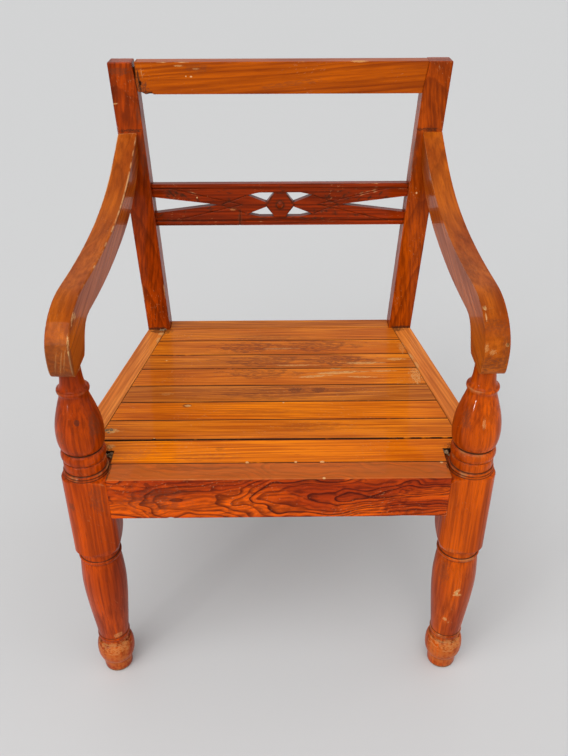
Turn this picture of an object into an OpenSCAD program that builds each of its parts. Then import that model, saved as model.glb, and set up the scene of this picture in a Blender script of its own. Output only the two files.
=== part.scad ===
// Low slatted armchair in varnished hardwood: turned front legs that run up through the
// seat to carry the arms, raked back posts, a plain top rail and a pierced, carved splat.
// The top rail has shrunk out of its left-hand joint. +X is the right-hand side as seen
// from the front, the chair faces -Y, and the floor is at Z = 0.

/* [Overall] */
// Height to the top of the back
chair_h = 880; // [800:5:1060]
// Height of the top face of the seat
seat_h = 422; // [360:2:510]
// Width over the square blocks of the two front legs
front_w = 614; // [520:2:740]
// From the centre of a front leg back to the face of a back post
seat_run = 402; // [330:2:490]

/* [Back frame] */
// Width over the back posts at seat level
rear_w = 486; // [420:2:560]
// Width over the back posts at the top
top_w = 556; // [480:2:640]
// Width of a back post at seat level
post_w = 40; // [34:1:50]
// Width of a back post just under the top rail
post_w_high = 43; // [36:1:52]
// Width of a back post at its top end
post_w_top = 38.5; // [32:0.5:48]
// Depth of a back post, front to back
post_d = 36; // [30:1:46]
// How far the back leans between the seat and the top
back_rake = 49.5; // [20:0.5:90]
// How far the loose back frame has racked to the right at the top
racked = 7.5; // [0:0.5:16]
// How far a back foot is swept behind the post
foot_sweep = 34; // [0:1:48]
// Depth of a back foot at the floor
back_foot_d = 30; // [24:1:36]
// Height of the top rail
top_rail_h = 49; // [36:1:64]
// Thickness of the top rail
top_rail_t = 28; // [20:1:30]
// How far the open joint gapes at the top of the left shoulder
joint_gape = 4.5; // [0:0.5:8]
// Height over which the open joint gapes
gape_h = 30; // [10:1:34]
// Length of the chip under the left end of the top rail
chip_w = 14; // [0:1:24]

/* [Splat] */
// Height of the middle of the splat above the floor
splat_z = 650; // [560:2:740]
// Height of the splat
splat_h = 72; // [60:1:96]
// Thickness of the splat
splat_t = 18; // [14:1:24]
// How far the splat is set back behind the faces of the posts
splat_set = 8; // [3:1:12]
// Half the height of a long pierced triangle at the post
long_hole_h = 14; // [8:1:16]
// From the middle of the splat to the point of a long triangle
long_hole_x = 104; // [84:1:130]
// From the middle of the splat to the crossing of the carved lines
cross_x = 65.7; // [60:1:80]
// From the middle of the splat to the outer point of a small triangle
small_hole_x = 57; // [48:1:60]
// Half the width of the raised diamond
diamond_w = 23.5; // [18:0.5:28]
// Half the height of the raised diamond
diamond_h = 21; // [16:0.5:24]
// Height of the diamond above the face of the splat
diamond_rise = 2.5; // [1:0.5:4]
// Radius of the button on the diamond
button_r = 7; // [4:0.5:9]
// Width of the carved lines
carve_w = 2.6; // [1.5:0.1:4]
// Width of the bead along the long edges
bead_w = 8; // [5:0.5:10]

/* [Front legs] */
// Side of the square block
block_w = 66; // [58:1:80]
// Height of the square block
block_h = 114; // [100:1:140]
// Depth of the shoulders turned on the ends of the block
shoulder_drop = 12; // [4:1:18]
// Radius of the outer corners of the block
block_round = 22; // [8:1:28]
// Radius of the foot at the floor
foot_r = 22.6; // [18:0.2:26]
// Radius of the bead above the foot
foot_bead_r = 30; // [27:0.5:34]
// Largest radius of the barrel of the leg
barrel_r = 33.5; // [30:0.5:38]
// Largest radius of the baluster under the arm
belly_r = 33.2; // [29:0.5:38]
// Radius of the neck under the arm
neck_r = 14.5; // [13:0.5:18]
// Radius of the round tenon in the arm
pin_r = 10; // [7:0.5:12]
// Length of the round tenon in the arm
pin_l = 26; // [16:1:36]

/* [Arms] */
// Height of the flat of the arm
arm_h = 676; // [600:2:760]
// How far the arm climbs from its flat to the back post
arm_rise = 95; // [60:1:120]
// Height of the arm where it meets the back post
arm_joint_h = 38; // [32:1:50]
// Thickness of the arm
arm_t = 43; // [34:1:50]
// Width of the arm
arm_w = 32; // [28:1:40]
// Depth of the scroll that turns down over the front leg
scroll_h = 90; // [76:1:110]
// How far the scroll stands in front of the centre of the leg
nose = 35; // [30:1:44]

/* [Seat] */
// Height of the front rail
front_rail_h = 71.5; // [60:1:90]
// Thickness of the front rail
front_rail_t = 36; // [28:1:40]
// Height of the side rails and the rear rail
rail_h = 60; // [54:1:72]
// Thickness of the side rails
side_rail_t = 32; // [24:1:36]
// Thickness of the rear rail
rear_rail_t = 30; // [22:1:32]
// How far the rear rail is set back behind the faces of the posts
rear_rail_set = 3.5; // [2:0.5:6]
// Thickness of the slats
slat_t = 14; // [10:1:18]
// Gap between one slat and the next
slat_gap = 0.8; // [0.4:0.1:3]
// Gap where the first two slats have shrunk apart
wide_gap = 3; // [1:0.5:6]
// Height and width of the ledger strips under the ends of the slats
ledger_s = 20; // [16:1:26]
// Width of the bearer under the middle of the slats
bearer_w = 40; // [28:1:60]
// Radius of the screws that hold the slats down
screw_r = 2; // [1.5:0.1:2.5]
// Length of those screws
screw_l = 28; // [24:1:30]

/* [Joinery] */
// Thickness of the tenons
tenon_t = 12; // [8:1:14]
// Length of the tenons
tenon_l = 20; // [14:1:22]
// Clearance round a tenon in its mortise
tenon_clear = 0.3; // [0.1:0.05:0.6]
// Clearance between a slat and the pieces at its ends
end_clear = 0.5; // [0.3:0.1:1.5]

/* [Hidden] */
$fn = 96;

red_teak = [0.55, 0.2, 0.06];
brown_teak = [0.62, 0.27, 0.08];
gold_teak = [0.74, 0.38, 0.12];
steel = [0.6, 0.6, 0.62];

// Share of the seat's depth that each slat takes, from the front
slat_share = [55.5, 50, 50, 48.5, 53, 47, 50.5, 47];

half = block_w / 2;
leg_x = front_w / 2 - half;
arm_top = arm_h + arm_rise;
arm_under = arm_h - scroll_h;
arm_run = seat_run + back_rake * (arm_top - seat_h) / (chair_h - seat_h);
// The arms turn inwards on their way to the posts, which swings a corner of the scroll forward
nose_reach = max([for (side = [-1, 1])
    nose * cos(arm_turn(side)) + arm_w / 2 * abs(sin(arm_turn(side)))]);
depth = nose_reach + seat_run + back_rake + post_d;
leg_y = nose_reach - depth / 2;
post_y = leg_y + seat_run;
block_back = leg_y + half;
rail_y = leg_y - half;
rear_rail_y = post_y + rear_rail_set;
rail_under = seat_h - rail_h;
rail_top_z = chair_h - top_rail_h;
far = 2 * chair_h;

function bezier(a, b, c, d, steps = 12) = [
    for (i = [1 : steps]) let (t = i / steps, s = 1 - t)
        s * s * s * a + 3 * s * s * t * b + 3 * s * t * t * c + t * t * t * d
];

// Face of a back post at height z: plumb through the seat, raked above, swept below
function post_face(z) =
    z > seat_h ? post_y + back_rake * (z - seat_h) / (chair_h - seat_h)
    : z > rail_under ? post_y
    : post_y + foot_sweep * pow(1 - z / rail_under, 1.7);
// Back of a back post at height z, thinner towards the floor
function post_back(z) =
    post_face(z) + (z > rail_under ? post_d
        : back_foot_d + (post_d - back_foot_d) * z / rail_under);
// Distances from the middle plane, on side -1 (left) or 1 (right), with the racking in them
function post_outer(z, side) = side * racked * z / chair_h
    + (z < seat_h ? rear_w / 2
        : rear_w / 2 + (top_w - rear_w) / 2 * (z - seat_h) / (chair_h - seat_h));
function post_width(z) = z < seat_h ? post_w
    : z < rail_top_z ? post_w + (post_w_high - post_w) * (z - seat_h) / (rail_top_z - seat_h)
    : post_w_high + (post_w_top - post_w_high) * (z - rail_top_z) / top_rail_h;
function post_inner(z, side) = post_outer(z, side) - post_width(z);

// Faces of a side rail at depth y, from the middle plane
function rail_turn(side) = atan2(front_w / 2 - post_outer(seat_h, side), post_y - block_back);
function side_outer(y, side) = front_w / 2 - (y - block_back) * tan(rail_turn(side));
function side_inner(y, side) = side_outer(y, side) - side_rail_t / cos(rail_turn(side));

// ---- placing ----

module along_x(width) {
    translate([-width / 2, 0, 0]) rotate([90, 0, 90]) linear_extrude(width) children();
}

module along_y(from, to) {
    translate([0, to, 0]) rotate([90, 0, 0]) linear_extrude(to - from) children();
}

module on_side(side) {
    if (side > 0) children();
    else mirror([1, 0, 0]) children();
}

module bar(low, high) {
    translate(low) cube(high - low);
}

// ---- back posts ----

module post_profile() {
    leg_steps = [for (i = [0 : 8]) rail_under * i / 8];
    polygon(concat(
        [for (z = leg_steps) [post_face(z), z]],
        [[post_y, seat_h], [post_face(chair_h), chair_h], [post_back(chair_h), chair_h],
            [post_back(seat_h), seat_h]],
        [for (i = [8 : -1 : 0]) [post_back(leg_steps[i]), leg_steps[i]]]));
}

module post_front_view(side) {
    polygon(concat(
        [for (z = [0, seat_h, chair_h]) [post_outer(z, side), z]],
        [for (z = [chair_h, rail_top_z, seat_h, 0]) [post_inner(z, side), z]]));
}

module rear_post(side) {
    color(red_teak) difference() {
        on_side(side) intersection() {
            translate([rear_w / 2, 0, 0]) along_x(top_w) post_profile();
            along_y(-depth, depth) post_front_view(side);
        }
        side_rail_tenon(side, 1, tenon_clear);
        rear_rail_tenon(side, tenon_clear);
        top_rail_tenon(side, tenon_clear);
        splat_tenon(side, tenon_clear);
        arm_tenon(side, tenon_clear);
    }
}

// ---- slab that follows the rake of the back, between heights low and high ----

module raked_slab(set_back, thick, low, high) {
    along_x(far) polygon([
        [post_face(low) + set_back, low], [post_face(low) + set_back + thick, low],
        [post_face(high) + set_back + thick, high], [post_face(high) + set_back, high]]);
}

// What lies between the inner faces of the two posts, between heights low and high
module between_posts(low, high) {
    polygon([[-post_inner(low, -1), low], [post_inner(low, 1), low],
        [post_inner(high, 1), high], [-post_inner(high, -1), high]]);
}

// ---- top rail ----

top_rail_set = (post_d - top_rail_t) / 4;

module top_rail_tenon(side, grow = 0) {
    low = rail_top_z + 9 - grow;
    high = chair_h - 10 + grow;
    set_back = top_rail_set + (top_rail_t - tenon_t) / 2 - grow;
    root = post_inner(rail_top_z, side) - 2;
    reach = tenon_l + grow;
    on_side(side) intersection() {
        raked_slab(set_back, tenon_t + 2 * grow, low, high);
        along_y(-depth, depth) polygon([[root, low], [post_inner(low, side) + reach, low],
            [post_inner(high, side) + reach, high], [root, high]]);
    }
}

// Left shoulder: tight at the foot of the joint, gaping at the top, chipped underneath
module top_rail_front_view() {
    gape_z = chair_h - gape_h;
    chip_h = chip_w / 3;
    bulge_z = gape_z + gape_h * 0.45;
    polygon([
        [-post_inner(rail_top_z, -1) + chip_w, rail_top_z],
        [-post_inner(rail_top_z, -1) + chip_w * 0.45, rail_top_z + chip_h * 0.75],
        [-post_inner(rail_top_z + chip_h, -1), rail_top_z + chip_h],
        [-post_inner(gape_z, -1), gape_z],
        [-post_inner(bulge_z, -1) + joint_gape * 0.75, bulge_z],
        [-post_inner(chair_h, -1) + joint_gape, chair_h],
        [post_inner(chair_h, 1), chair_h],
        [post_inner(rail_top_z, 1), rail_top_z]]);
}

module top_rail() {
    color(brown_teak) union() {
        intersection() {
            raked_slab(top_rail_set, top_rail_t, rail_top_z, chair_h);
            along_y(-depth, depth) top_rail_front_view();
        }
        for (side = [-1, 1]) top_rail_tenon(side);
    }
}

// ---- splat: worked flat, face up, then leant back with the posts ----

lean = atan2(back_rake, chair_h - seat_h);
diamond_top = 9.5;
neck_h = 3.5;
small_hole_h = 16.5;
small_hole_top = 36;
carve_end_x = 187;
splat_x = racked * splat_z / chair_h;

module on_back() {
    translate([splat_x, post_face(splat_z), splat_z]) rotate([90 - lean, 0, 0])
        translate([0, 0, -(splat_set + splat_t) * cos(lean)]) children();
}

module splat_tenon(side, grow = 0) {
    reach = splat_h / 2 - 6 + grow;
    low = splat_z - reach;
    high = splat_z + reach;
    on_side(side) intersection() {
        raked_slab(splat_set + (splat_t - tenon_t) / 2 - grow, tenon_t + 2 * grow, low, high);
        along_y(-depth, depth) polygon([
            [post_inner(low, side) - 4, low], [post_inner(low, side) + tenon_l + grow, low],
            [post_inner(high, side) + tenon_l + grow, high], [post_inner(high, side) - 4, high]]);
    }
}

module splat_holes() {
    rise = long_hole_h * cos(lean);
    for (side = [-1, 1]) on_side(side) {
        polygon([[long_hole_x, 0],
            [post_inner(splat_z + rise, side) - side * splat_x, long_hole_h],
            [post_inner(splat_z - rise, side) - side * splat_x, -long_hole_h]]);
        for (turn = [0, 1]) mirror([0, turn, 0])
            polygon([[small_hole_x, small_hole_h], [small_hole_top, diamond_h],
                [diamond_top, diamond_h], [diamond_w, neck_h]]);
    }
}

// V-shaped line carved in the face between two points
module carved_line(a, b) {
    run = b - a;
    side = carve_w / sqrt(2);
    translate([a[0], a[1], splat_t]) rotate([0, 0, atan2(run[1], run[0])])
        rotate([45, 0, 0]) translate([0, -side / 2, -side / 2]) cube([norm(run), side, side]);
}

module splat_carving() {
    bead_y = splat_h / 2 - bead_w;
    for (flip = [0, 1]) mirror([flip, 0, 0]) for (turn = [0, 1]) mirror([0, turn, 0]) {
        carved_line([-1, bead_y], [top_w / 2, bead_y]);
        carved_line([carve_end_x, bead_y], [cross_x, 0]);
        carved_line([long_hole_x - 3, 0.6], [small_hole_x + 2, small_hole_h - 1]);
    }
}

module splat_diamond() {
    linear_extrude(splat_t + diamond_rise) polygon([
        [diamond_w, 0], [diamond_top, diamond_h], [-diamond_top, diamond_h], [-diamond_w, 0],
        [-diamond_top, -diamond_h], [diamond_top, -diamond_h]]);
    translate([0, 0, splat_t + diamond_rise]) intersection() {
        translate([0, 0, -button_r * 0.6]) sphere(r = button_r * 1.1);
        cylinder(r = button_r, h = button_r);
    }
}

module back_splat() {
    color(red_teak) difference() {
        union() {
            intersection() {
                on_back() {
                    difference() {
                        translate([-far / 2, -splat_h / 2, 0]) cube([far, splat_h, splat_t]);
                        splat_carving();
                    }
                    splat_diamond();
                }
                along_y(-depth, depth) between_posts(splat_z - splat_h, splat_z + splat_h);
            }
            for (side = [-1, 1]) splat_tenon(side);
        }
        on_back() translate([0, 0, -1]) linear_extrude(splat_t + 2) splat_holes();
    }
}

// ---- front legs: one turning from the floor to the pin in the arm ----

block_top = seat_h - 6;
block_low = block_top - block_h;
corner_r = block_w * 0.73;
shoulder_low = 26;

// Half-ellipse between heights low and high, swelling from edge_r to mid_r
function swell(edge_r, mid_r, low, high, steps = 10) = [
    for (i = [0 : steps]) let (a = 180 * i / steps)
        [edge_r + (mid_r - edge_r) * sin(a), (low + high) / 2 - (high - low) / 2 * cos(a)]
];

// Quarter-ellipse shoulder from radius neck out to the corners of the block
function shoulder(neck, from, to, steps = 8) = [
    for (i = [0 : steps]) let (a = 90 * i / steps)
        [neck + (corner_r - neck) * sin(a), to + (from - to) * cos(a)]
];
function reversed(list) = [for (i = [len(list) - 1 : -1 : 0]) list[i]];

function foot_outline() = concat(
    [[0, 0], [foot_r - 2.5, 0], [foot_r, 3], [foot_r + 1.2, 25]],
    swell(foot_r + 1.2, foot_bead_r, 25, 66),
    swell(foot_r + 1.4, foot_r, 66, 77, 6),
    swell(foot_r + 2, foot_r + 3.2, 77, 83, 6),
    [[foot_r + 2, 85]]);

function barrel_outline() = let (lip = block_low - 43) concat(
    bezier([foot_r + 2, 85], [foot_r + 6.5, 135], [barrel_r + 2.5, lip - 69], [barrel_r - 0.9, lip - 33]),
    bezier([barrel_r - 0.9, lip - 33], [barrel_r - 1.4, lip - 22], [barrel_r - 2.5, lip - 10],
        [barrel_r - 4, lip - 7], 8),
    [[barrel_r - 4.2, lip - 4]],
    swell(barrel_r - 2.6, barrel_r - 1.3, lip - 3, lip + 2, 6),
    swell(barrel_r - 3, barrel_r - 4.8, lip + 2, lip + 14, 8),
    swell(barrel_r - 3.4, barrel_r - 2.7, lip + 14, lip + 17, 4));

function baluster_outline() = concat(
    reversed(shoulder(half, block_top, block_top - shoulder_drop)),
    [[half - 0.8, block_top], [half - 0.6, block_top + 2.5], [half - 2.4, block_top + 3.5],
        [half - 1.4, block_top + 5], [half - 1.4, block_top + 7], [half - 3.6, block_top + 8]],
    swell(half - 4, half - 2.9, block_top + 9, block_top + 23, 6),
    swell(belly_r - 6, belly_r - 1.6, block_top + 24, block_top + 41),
    bezier([belly_r - 8, block_top + 42], [belly_r - 2.5, block_top + 43],
        [belly_r, block_top + 52], [belly_r, block_top + 67], 8),
    bezier([belly_r, block_top + 67], [belly_r, block_top + 87],
        [neck_r + 13, arm_under - 66], [neck_r + 5.8, arm_under - 43], 10),
    [[neck_r + 5.6, arm_under - 38], [neck_r + 7.4, arm_under - 35], [neck_r + 7.8, arm_under - 33],
        [neck_r + 7.4, arm_under - 31], [neck_r + 5.8, arm_under - 30.5]],
    bezier([neck_r + 5.8, arm_under - 30.5], [neck_r + 2.2, arm_under - 29],
        [neck_r + 0.8, arm_under - 20], [neck_r, arm_under], 8),
    [[pin_r, arm_under], [pin_r, arm_under + pin_l - 1.5], [pin_r - 1.5, arm_under + pin_l],
        [0, arm_under + pin_l]]);

module turning() {
    rotate_extrude() polygon(concat(
        foot_outline(),
        barrel_outline(),
        shoulder(barrel_r - 3.4, block_low - shoulder_low, block_low),
        baluster_outline()));
}

// Square stock with its outer front corner rounded over, the rest just eased
module block_plan() {
    ease = 2.5;
    difference() {
        square(block_w, center = true);
        translate([half - block_round, -half]) difference() {
            square(block_round);
            translate([0, block_round]) circle(block_round);
        }
        for (corner = [[-1, 1], [1, 1]]) translate([corner[0] * half, corner[1] * half])
            rotate(45) square(ease, center = true);
    }
}

module front_leg(side) {
    color(brown_teak) difference() {
        on_side(side) translate([leg_x, leg_y, 0]) intersection() {
            turning();
            union() {
                cylinder(r = corner_r, h = block_low - shoulder_low);
                translate([0, 0, block_low - shoulder_low])
                    linear_extrude(block_h + shoulder_low) block_plan();
                translate([0, 0, block_top]) cylinder(r = corner_r, h = far);
            }
        }
        front_rail_tenon(side, tenon_clear);
        side_rail_tenon(side, 0, tenon_clear);
    }
}

// ---- arms ----

function arm_end_x(side) = post_outer(arm_top, side) - arm_w / 2;
function arm_turn(side) = atan2(leg_x - arm_end_x(side), arm_run);

module arm_outline() {
    back = arm_run + 6;
    crest = 0.12 * arm_run;
    polygon(concat(
        [[back, arm_top + 4]],
        bezier([back, arm_top + 4], [0.837 * arm_run, arm_h + 0.516 * arm_rise],
            [0.7 * arm_run, arm_h + 0.21 * arm_rise], [0.45 * arm_run, arm_h + 0.074 * arm_rise]),
        bezier([0.45 * arm_run, arm_h + 0.074 * arm_rise], [0.348 * arm_run, arm_h + 0.018 * arm_rise],
            [0.246 * arm_run, arm_h], [crest, arm_h], 6),
        [for (i = [1 : 12]) let (a = 90 + 90 * i / 12)
            [crest + (crest + nose) * cos(a), arm_h - 0.62 * scroll_h * (1 - sin(a))]],
        bezier([-nose, arm_h - 0.62 * scroll_h], [-nose, arm_under + 0.16 * scroll_h],
            [-nose + 2, arm_under], [-nose + 13, arm_under], 8),
        bezier([neck_r + 0.6, arm_under], [neck_r + 20, arm_under + 0.1 * scroll_h],
            [neck_r + 14, arm_h - arm_t], [0.155 * arm_run, arm_h - arm_t], 8),
        bezier([0.155 * arm_run, arm_h - arm_t], [0.36 * arm_run, arm_h - arm_t],
            [0.45 * arm_run, arm_h - 0.88 * arm_t], [0.587 * arm_run, arm_h - 0.65 * arm_t], 6),
        bezier([0.587 * arm_run, arm_h - 0.65 * arm_t], [0.746 * arm_run, arm_h - 0.37 * arm_t],
            [0.894 * arm_run, arm_h + 0.04 * arm_rise], [back, arm_top - arm_joint_h + 3])));
}

module arm_tenon(side, grow = 0) {
    start = post_face(arm_top) - 10;
    on_side(side) bar(
        [arm_end_x(side) - tenon_t / 2 - grow, start, arm_top - arm_joint_h + 9 - grow],
        [arm_end_x(side) + tenon_t / 2 + grow, start + 10 + 0.8 * tenon_l + grow, arm_top - 9 + grow]);
}

module arm(side) {
    color(brown_teak) union() {
        difference() {
            on_side(side) translate([leg_x, leg_y, 0]) difference() {
                rotate([0, 0, arm_turn(side)]) along_x(arm_w) arm_outline();
                translate([0, 0, arm_under - 1]) cylinder(r = pin_r + tenon_clear, h = pin_l + 2);
            }
            raked_slab(0, far, seat_h, chair_h);
        }
        arm_tenon(side);
    }
}

// ---- seat frame ----

module front_rail_tenon(side, grow = 0) {
    middle = rail_y + front_rail_t / 2;
    inner = leg_x - half;
    on_side(side) bar(
        [inner - 4, middle - tenon_t / 2 - grow, seat_h - front_rail_h + 12 - grow],
        [inner + tenon_l + grow, middle + tenon_t / 2 + grow, seat_h - 16 + grow]);
}

module front_rail() {
    inner = leg_x - half;
    color(brown_teak) union() {
        bar([-inner, rail_y, seat_h - front_rail_h], [inner, rail_y + front_rail_t, seat_h]);
        for (side = [-1, 1]) front_rail_tenon(side);
    }
}

// end 0 enters the leg, end 1 enters the back post; both sit low in the rail
module side_rail_tenon(side, end, grow = 0) {
    root = 8;
    length = (post_y - block_back) / cos(rail_turn(side));
    from = end == 0 ? -tenon_l - grow : length - root;
    to = end == 0 ? root : length + 0.8 * tenon_l + grow;
    on_side(side) translate([front_w / 2, block_back, 0]) rotate([0, 0, rail_turn(side)]) bar(
        [-(side_rail_t + tenon_t) / 2 - grow, from, rail_under + 6 - grow],
        [-(side_rail_t - tenon_t) / 2 + grow, to, rail_under + 24 + grow]);
}

module side_rail(side) {
    color(brown_teak) union() {
        on_side(side) translate([0, 0, rail_under]) linear_extrude(rail_h) polygon([
            [side_inner(block_back, side), block_back], [side_outer(block_back, side), block_back],
            [side_outer(post_y, side), post_y], [side_inner(post_y, side), post_y]]);
        for (end = [0, 1]) side_rail_tenon(side, end);
    }
}

module rear_rail_tenon(side, grow = 0) {
    middle = rear_rail_y + rear_rail_t / 2;
    inner = post_inner(seat_h, side);
    on_side(side) bar(
        [inner - 4, middle - tenon_t / 2 - grow, seat_h - 30 - grow],
        [inner + 0.9 * tenon_l + grow, middle + tenon_t / 2 + grow, seat_h - 10 + grow]);
}

module rear_rail() {
    color(brown_teak) union() {
        along_y(rear_rail_y, rear_rail_y + rear_rail_t) between_posts(rail_under, seat_h);
        for (side = [-1, 1]) rear_rail_tenon(side);
    }
}

// ---- slats and what carries them ----

slat_count = len(slat_share);
seat_front = rail_y + front_rail_t;
slats_depth = rear_rail_y - seat_front - wide_gap;
function share_to(i) = i == 0 ? 0 : slat_share[i - 1] + share_to(i - 1);
// Front edge of slat i; the wide gap lies between the first two slats
function slat_edge(i) = seat_front + slats_depth * share_to(i) / share_to(slat_count)
    + (i > 0 ? wide_gap - slat_gap : 0) + slat_gap / 2;
function slat_back(i) = slat_edge(i + 1) - (i == 0 ? wide_gap : slat_gap);
function screw_y(i) = max((slat_edge(i) + slat_back(i)) / 2, block_back + 12);
slat_under = seat_h - slat_t;
ledger_under = slat_under - ledger_s;
function ledger_in(side) = ledger_s / cos(rail_turn(side));

module slat(i) {
    front = slat_edge(i);
    back = slat_back(i);
    color(i % 2 == 0 ? gold_teak : brown_teak) difference() {
        translate([0, 0, slat_under]) linear_extrude(slat_t) difference() {
            polygon([for (corner = [[-1, front], [1, front], [1, back], [-1, back]])
                [corner[0] * (side_inner(corner[1], corner[0]) - end_clear), corner[1]]]);
            for (side = [-1, 1]) {
                translate([side * leg_x, leg_y]) square(block_w + 2 * end_clear, center = true);
                translate([side * (post_inner(seat_h, side) - end_clear + front_w / 2),
                    post_y - end_clear + front_w / 2]) square(front_w, center = true);
            }
        }
        for (side = [-1, 1]) screw(side, i, tenon_clear);
    }
}

module ledger(side) {
    start = block_back + end_clear;
    stop = post_y - end_clear;
    color(brown_teak) difference() {
        on_side(side) translate([0, 0, ledger_under]) linear_extrude(ledger_s) polygon([
            [side_inner(start, side), start], [side_inner(stop, side), stop],
            [side_inner(stop, side) - ledger_in(side), stop],
            [side_inner(start, side) - ledger_in(side), start]]);
        for (i = [0 : slat_count - 1]) screw(side, i, tenon_clear);
    }
}

module screw(side, i, grow = 0) {
    x = side * (side_inner(screw_y(i), side) - ledger_in(side) / 2);
    translate([x, screw_y(i), ledger_under - grow]) {
        cylinder(r = screw_r + grow, h = screw_l + 2 * grow);
        cylinder(r1 = 2 * screw_r + grow, r2 = screw_r + grow, h = 1.2 * screw_r + grow);
    }
}

module seat_screws() {
    color(steel) for (side = [-1, 1], i = [0 : slat_count - 1]) screw(side, i);
}

module centre_bearer() {
    color(brown_teak) bar([-bearer_w / 2, seat_front, ledger_under],
        [bearer_w / 2, rear_rail_y, slat_under]);
}

front_leg(-1);  // front_leg_left
front_leg(1);  // front_leg_right
rear_post(-1);  // rear_post_left
rear_post(1);  // rear_post_right
front_rail();
side_rail(-1);  // side_rail_left
side_rail(1);  // side_rail_right
rear_rail();
slat(0);  // slat_1
slat(1);  // slat_2
slat(2);  // slat_3
slat(3);  // slat_4
slat(4);  // slat_5
slat(5);  // slat_6
slat(6);  // slat_7
slat(7);  // slat_8
ledger(-1);  // ledger_left
ledger(1);  // ledger_right
centre_bearer();
seat_screws();
arm(-1);  // arm_left
arm(1);  // arm_right
top_rail();
back_splat();
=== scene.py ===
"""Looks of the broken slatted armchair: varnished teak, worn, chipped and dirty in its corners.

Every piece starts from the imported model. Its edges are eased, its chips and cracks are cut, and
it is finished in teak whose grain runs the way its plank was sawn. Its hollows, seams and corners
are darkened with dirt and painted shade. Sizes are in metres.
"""

import logging
import math
import random
from dataclasses import dataclass, field, replace
from enum import Enum

import bmesh
import bpy
from mathutils import Euler, Matrix, Vector


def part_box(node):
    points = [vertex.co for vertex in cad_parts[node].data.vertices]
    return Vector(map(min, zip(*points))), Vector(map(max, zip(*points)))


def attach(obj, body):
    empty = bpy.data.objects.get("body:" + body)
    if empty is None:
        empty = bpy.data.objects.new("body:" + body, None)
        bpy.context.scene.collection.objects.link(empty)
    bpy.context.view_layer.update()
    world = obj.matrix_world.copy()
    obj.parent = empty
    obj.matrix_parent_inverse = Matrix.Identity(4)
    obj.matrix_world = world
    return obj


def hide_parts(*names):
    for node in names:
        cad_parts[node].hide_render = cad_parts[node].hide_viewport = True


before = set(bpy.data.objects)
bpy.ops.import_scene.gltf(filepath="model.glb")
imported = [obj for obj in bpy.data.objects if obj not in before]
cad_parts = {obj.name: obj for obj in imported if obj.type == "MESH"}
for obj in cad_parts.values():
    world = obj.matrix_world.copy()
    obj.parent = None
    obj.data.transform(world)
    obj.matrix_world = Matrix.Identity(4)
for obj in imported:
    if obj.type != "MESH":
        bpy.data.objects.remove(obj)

log = logging.getLogger("armchair")

BODY = "root"
MM = 0.001
RUBBED = "rubbed_edge"
# Mask of concave bends and seams, darkened there: dirt and painted shade.
HOLLOW = "shaded_grimy_hollow"
WELD = 0.01 * MM
FLAT = math.radians(0.5)
SMOOTH_UP_TO = math.radians(38)
MOST_SPLITS = 12

Colour = tuple[float, float, float]
Triple = tuple[float, float, float]
Band = tuple[float, float]
Feed = float | tuple | bpy.types.NodeSocket


class GrainAxis(Enum):
    """Which way the fibres run in a piece, as the turn that lays them along X."""

    ACROSS = (0.0, 0.0, 0.0)
    DEEP = (0.0, 0.0, -math.pi / 2)
    UPRIGHT = (0.0, math.pi / 2, 0.0)


class MarkKind(Enum):
    """What a mark on the surface is made of, or the shade it paints."""

    GRIME_AND_SHADE = "grime"
    SCUFF = "scuff"
    BARE = "bare"
    STAIN = "stain"
    KNOT = "knot"
    FADED = "faded"


def spot(node: str, across: float, deep: float, up: float) -> Vector:
    """Finds a point of a node's box.

    Args:
        node: Name of the node.
        across: Share of the way from its left to its right side.
        deep: Share of the way from its front to its back.
        up: Share of the way from its bottom to its top.

    Returns:
        The point, in the model's frame.
    """
    low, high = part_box(node)
    shares = (across, deep, up)
    return Vector([low[i] + shares[i] * (high[i] - low[i]) for i in range(3)])


def finished_mesh(bm: bmesh.types.BMesh, name: str) -> bpy.types.Mesh:
    """Turns a bmesh into a new mesh and frees it.

    Args:
        bm: The bmesh.
        name: Name of the mesh.

    Returns:
        The mesh.
    """
    mesh = bpy.data.meshes.new(name)
    bm.to_mesh(mesh)
    bm.free()
    return mesh


def put_in_scene(name: str, data: bpy.types.ID) -> bpy.types.Object:
    """Puts a new object into the scene.

    Args:
        name: Name of the object.
        data: Its mesh, lamp or camera.

    Returns:
        The object.
    """
    thing = bpy.data.objects.new(name, data)
    bpy.context.scene.collection.objects.link(thing)
    return thing


# ---- node trees ----


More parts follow.
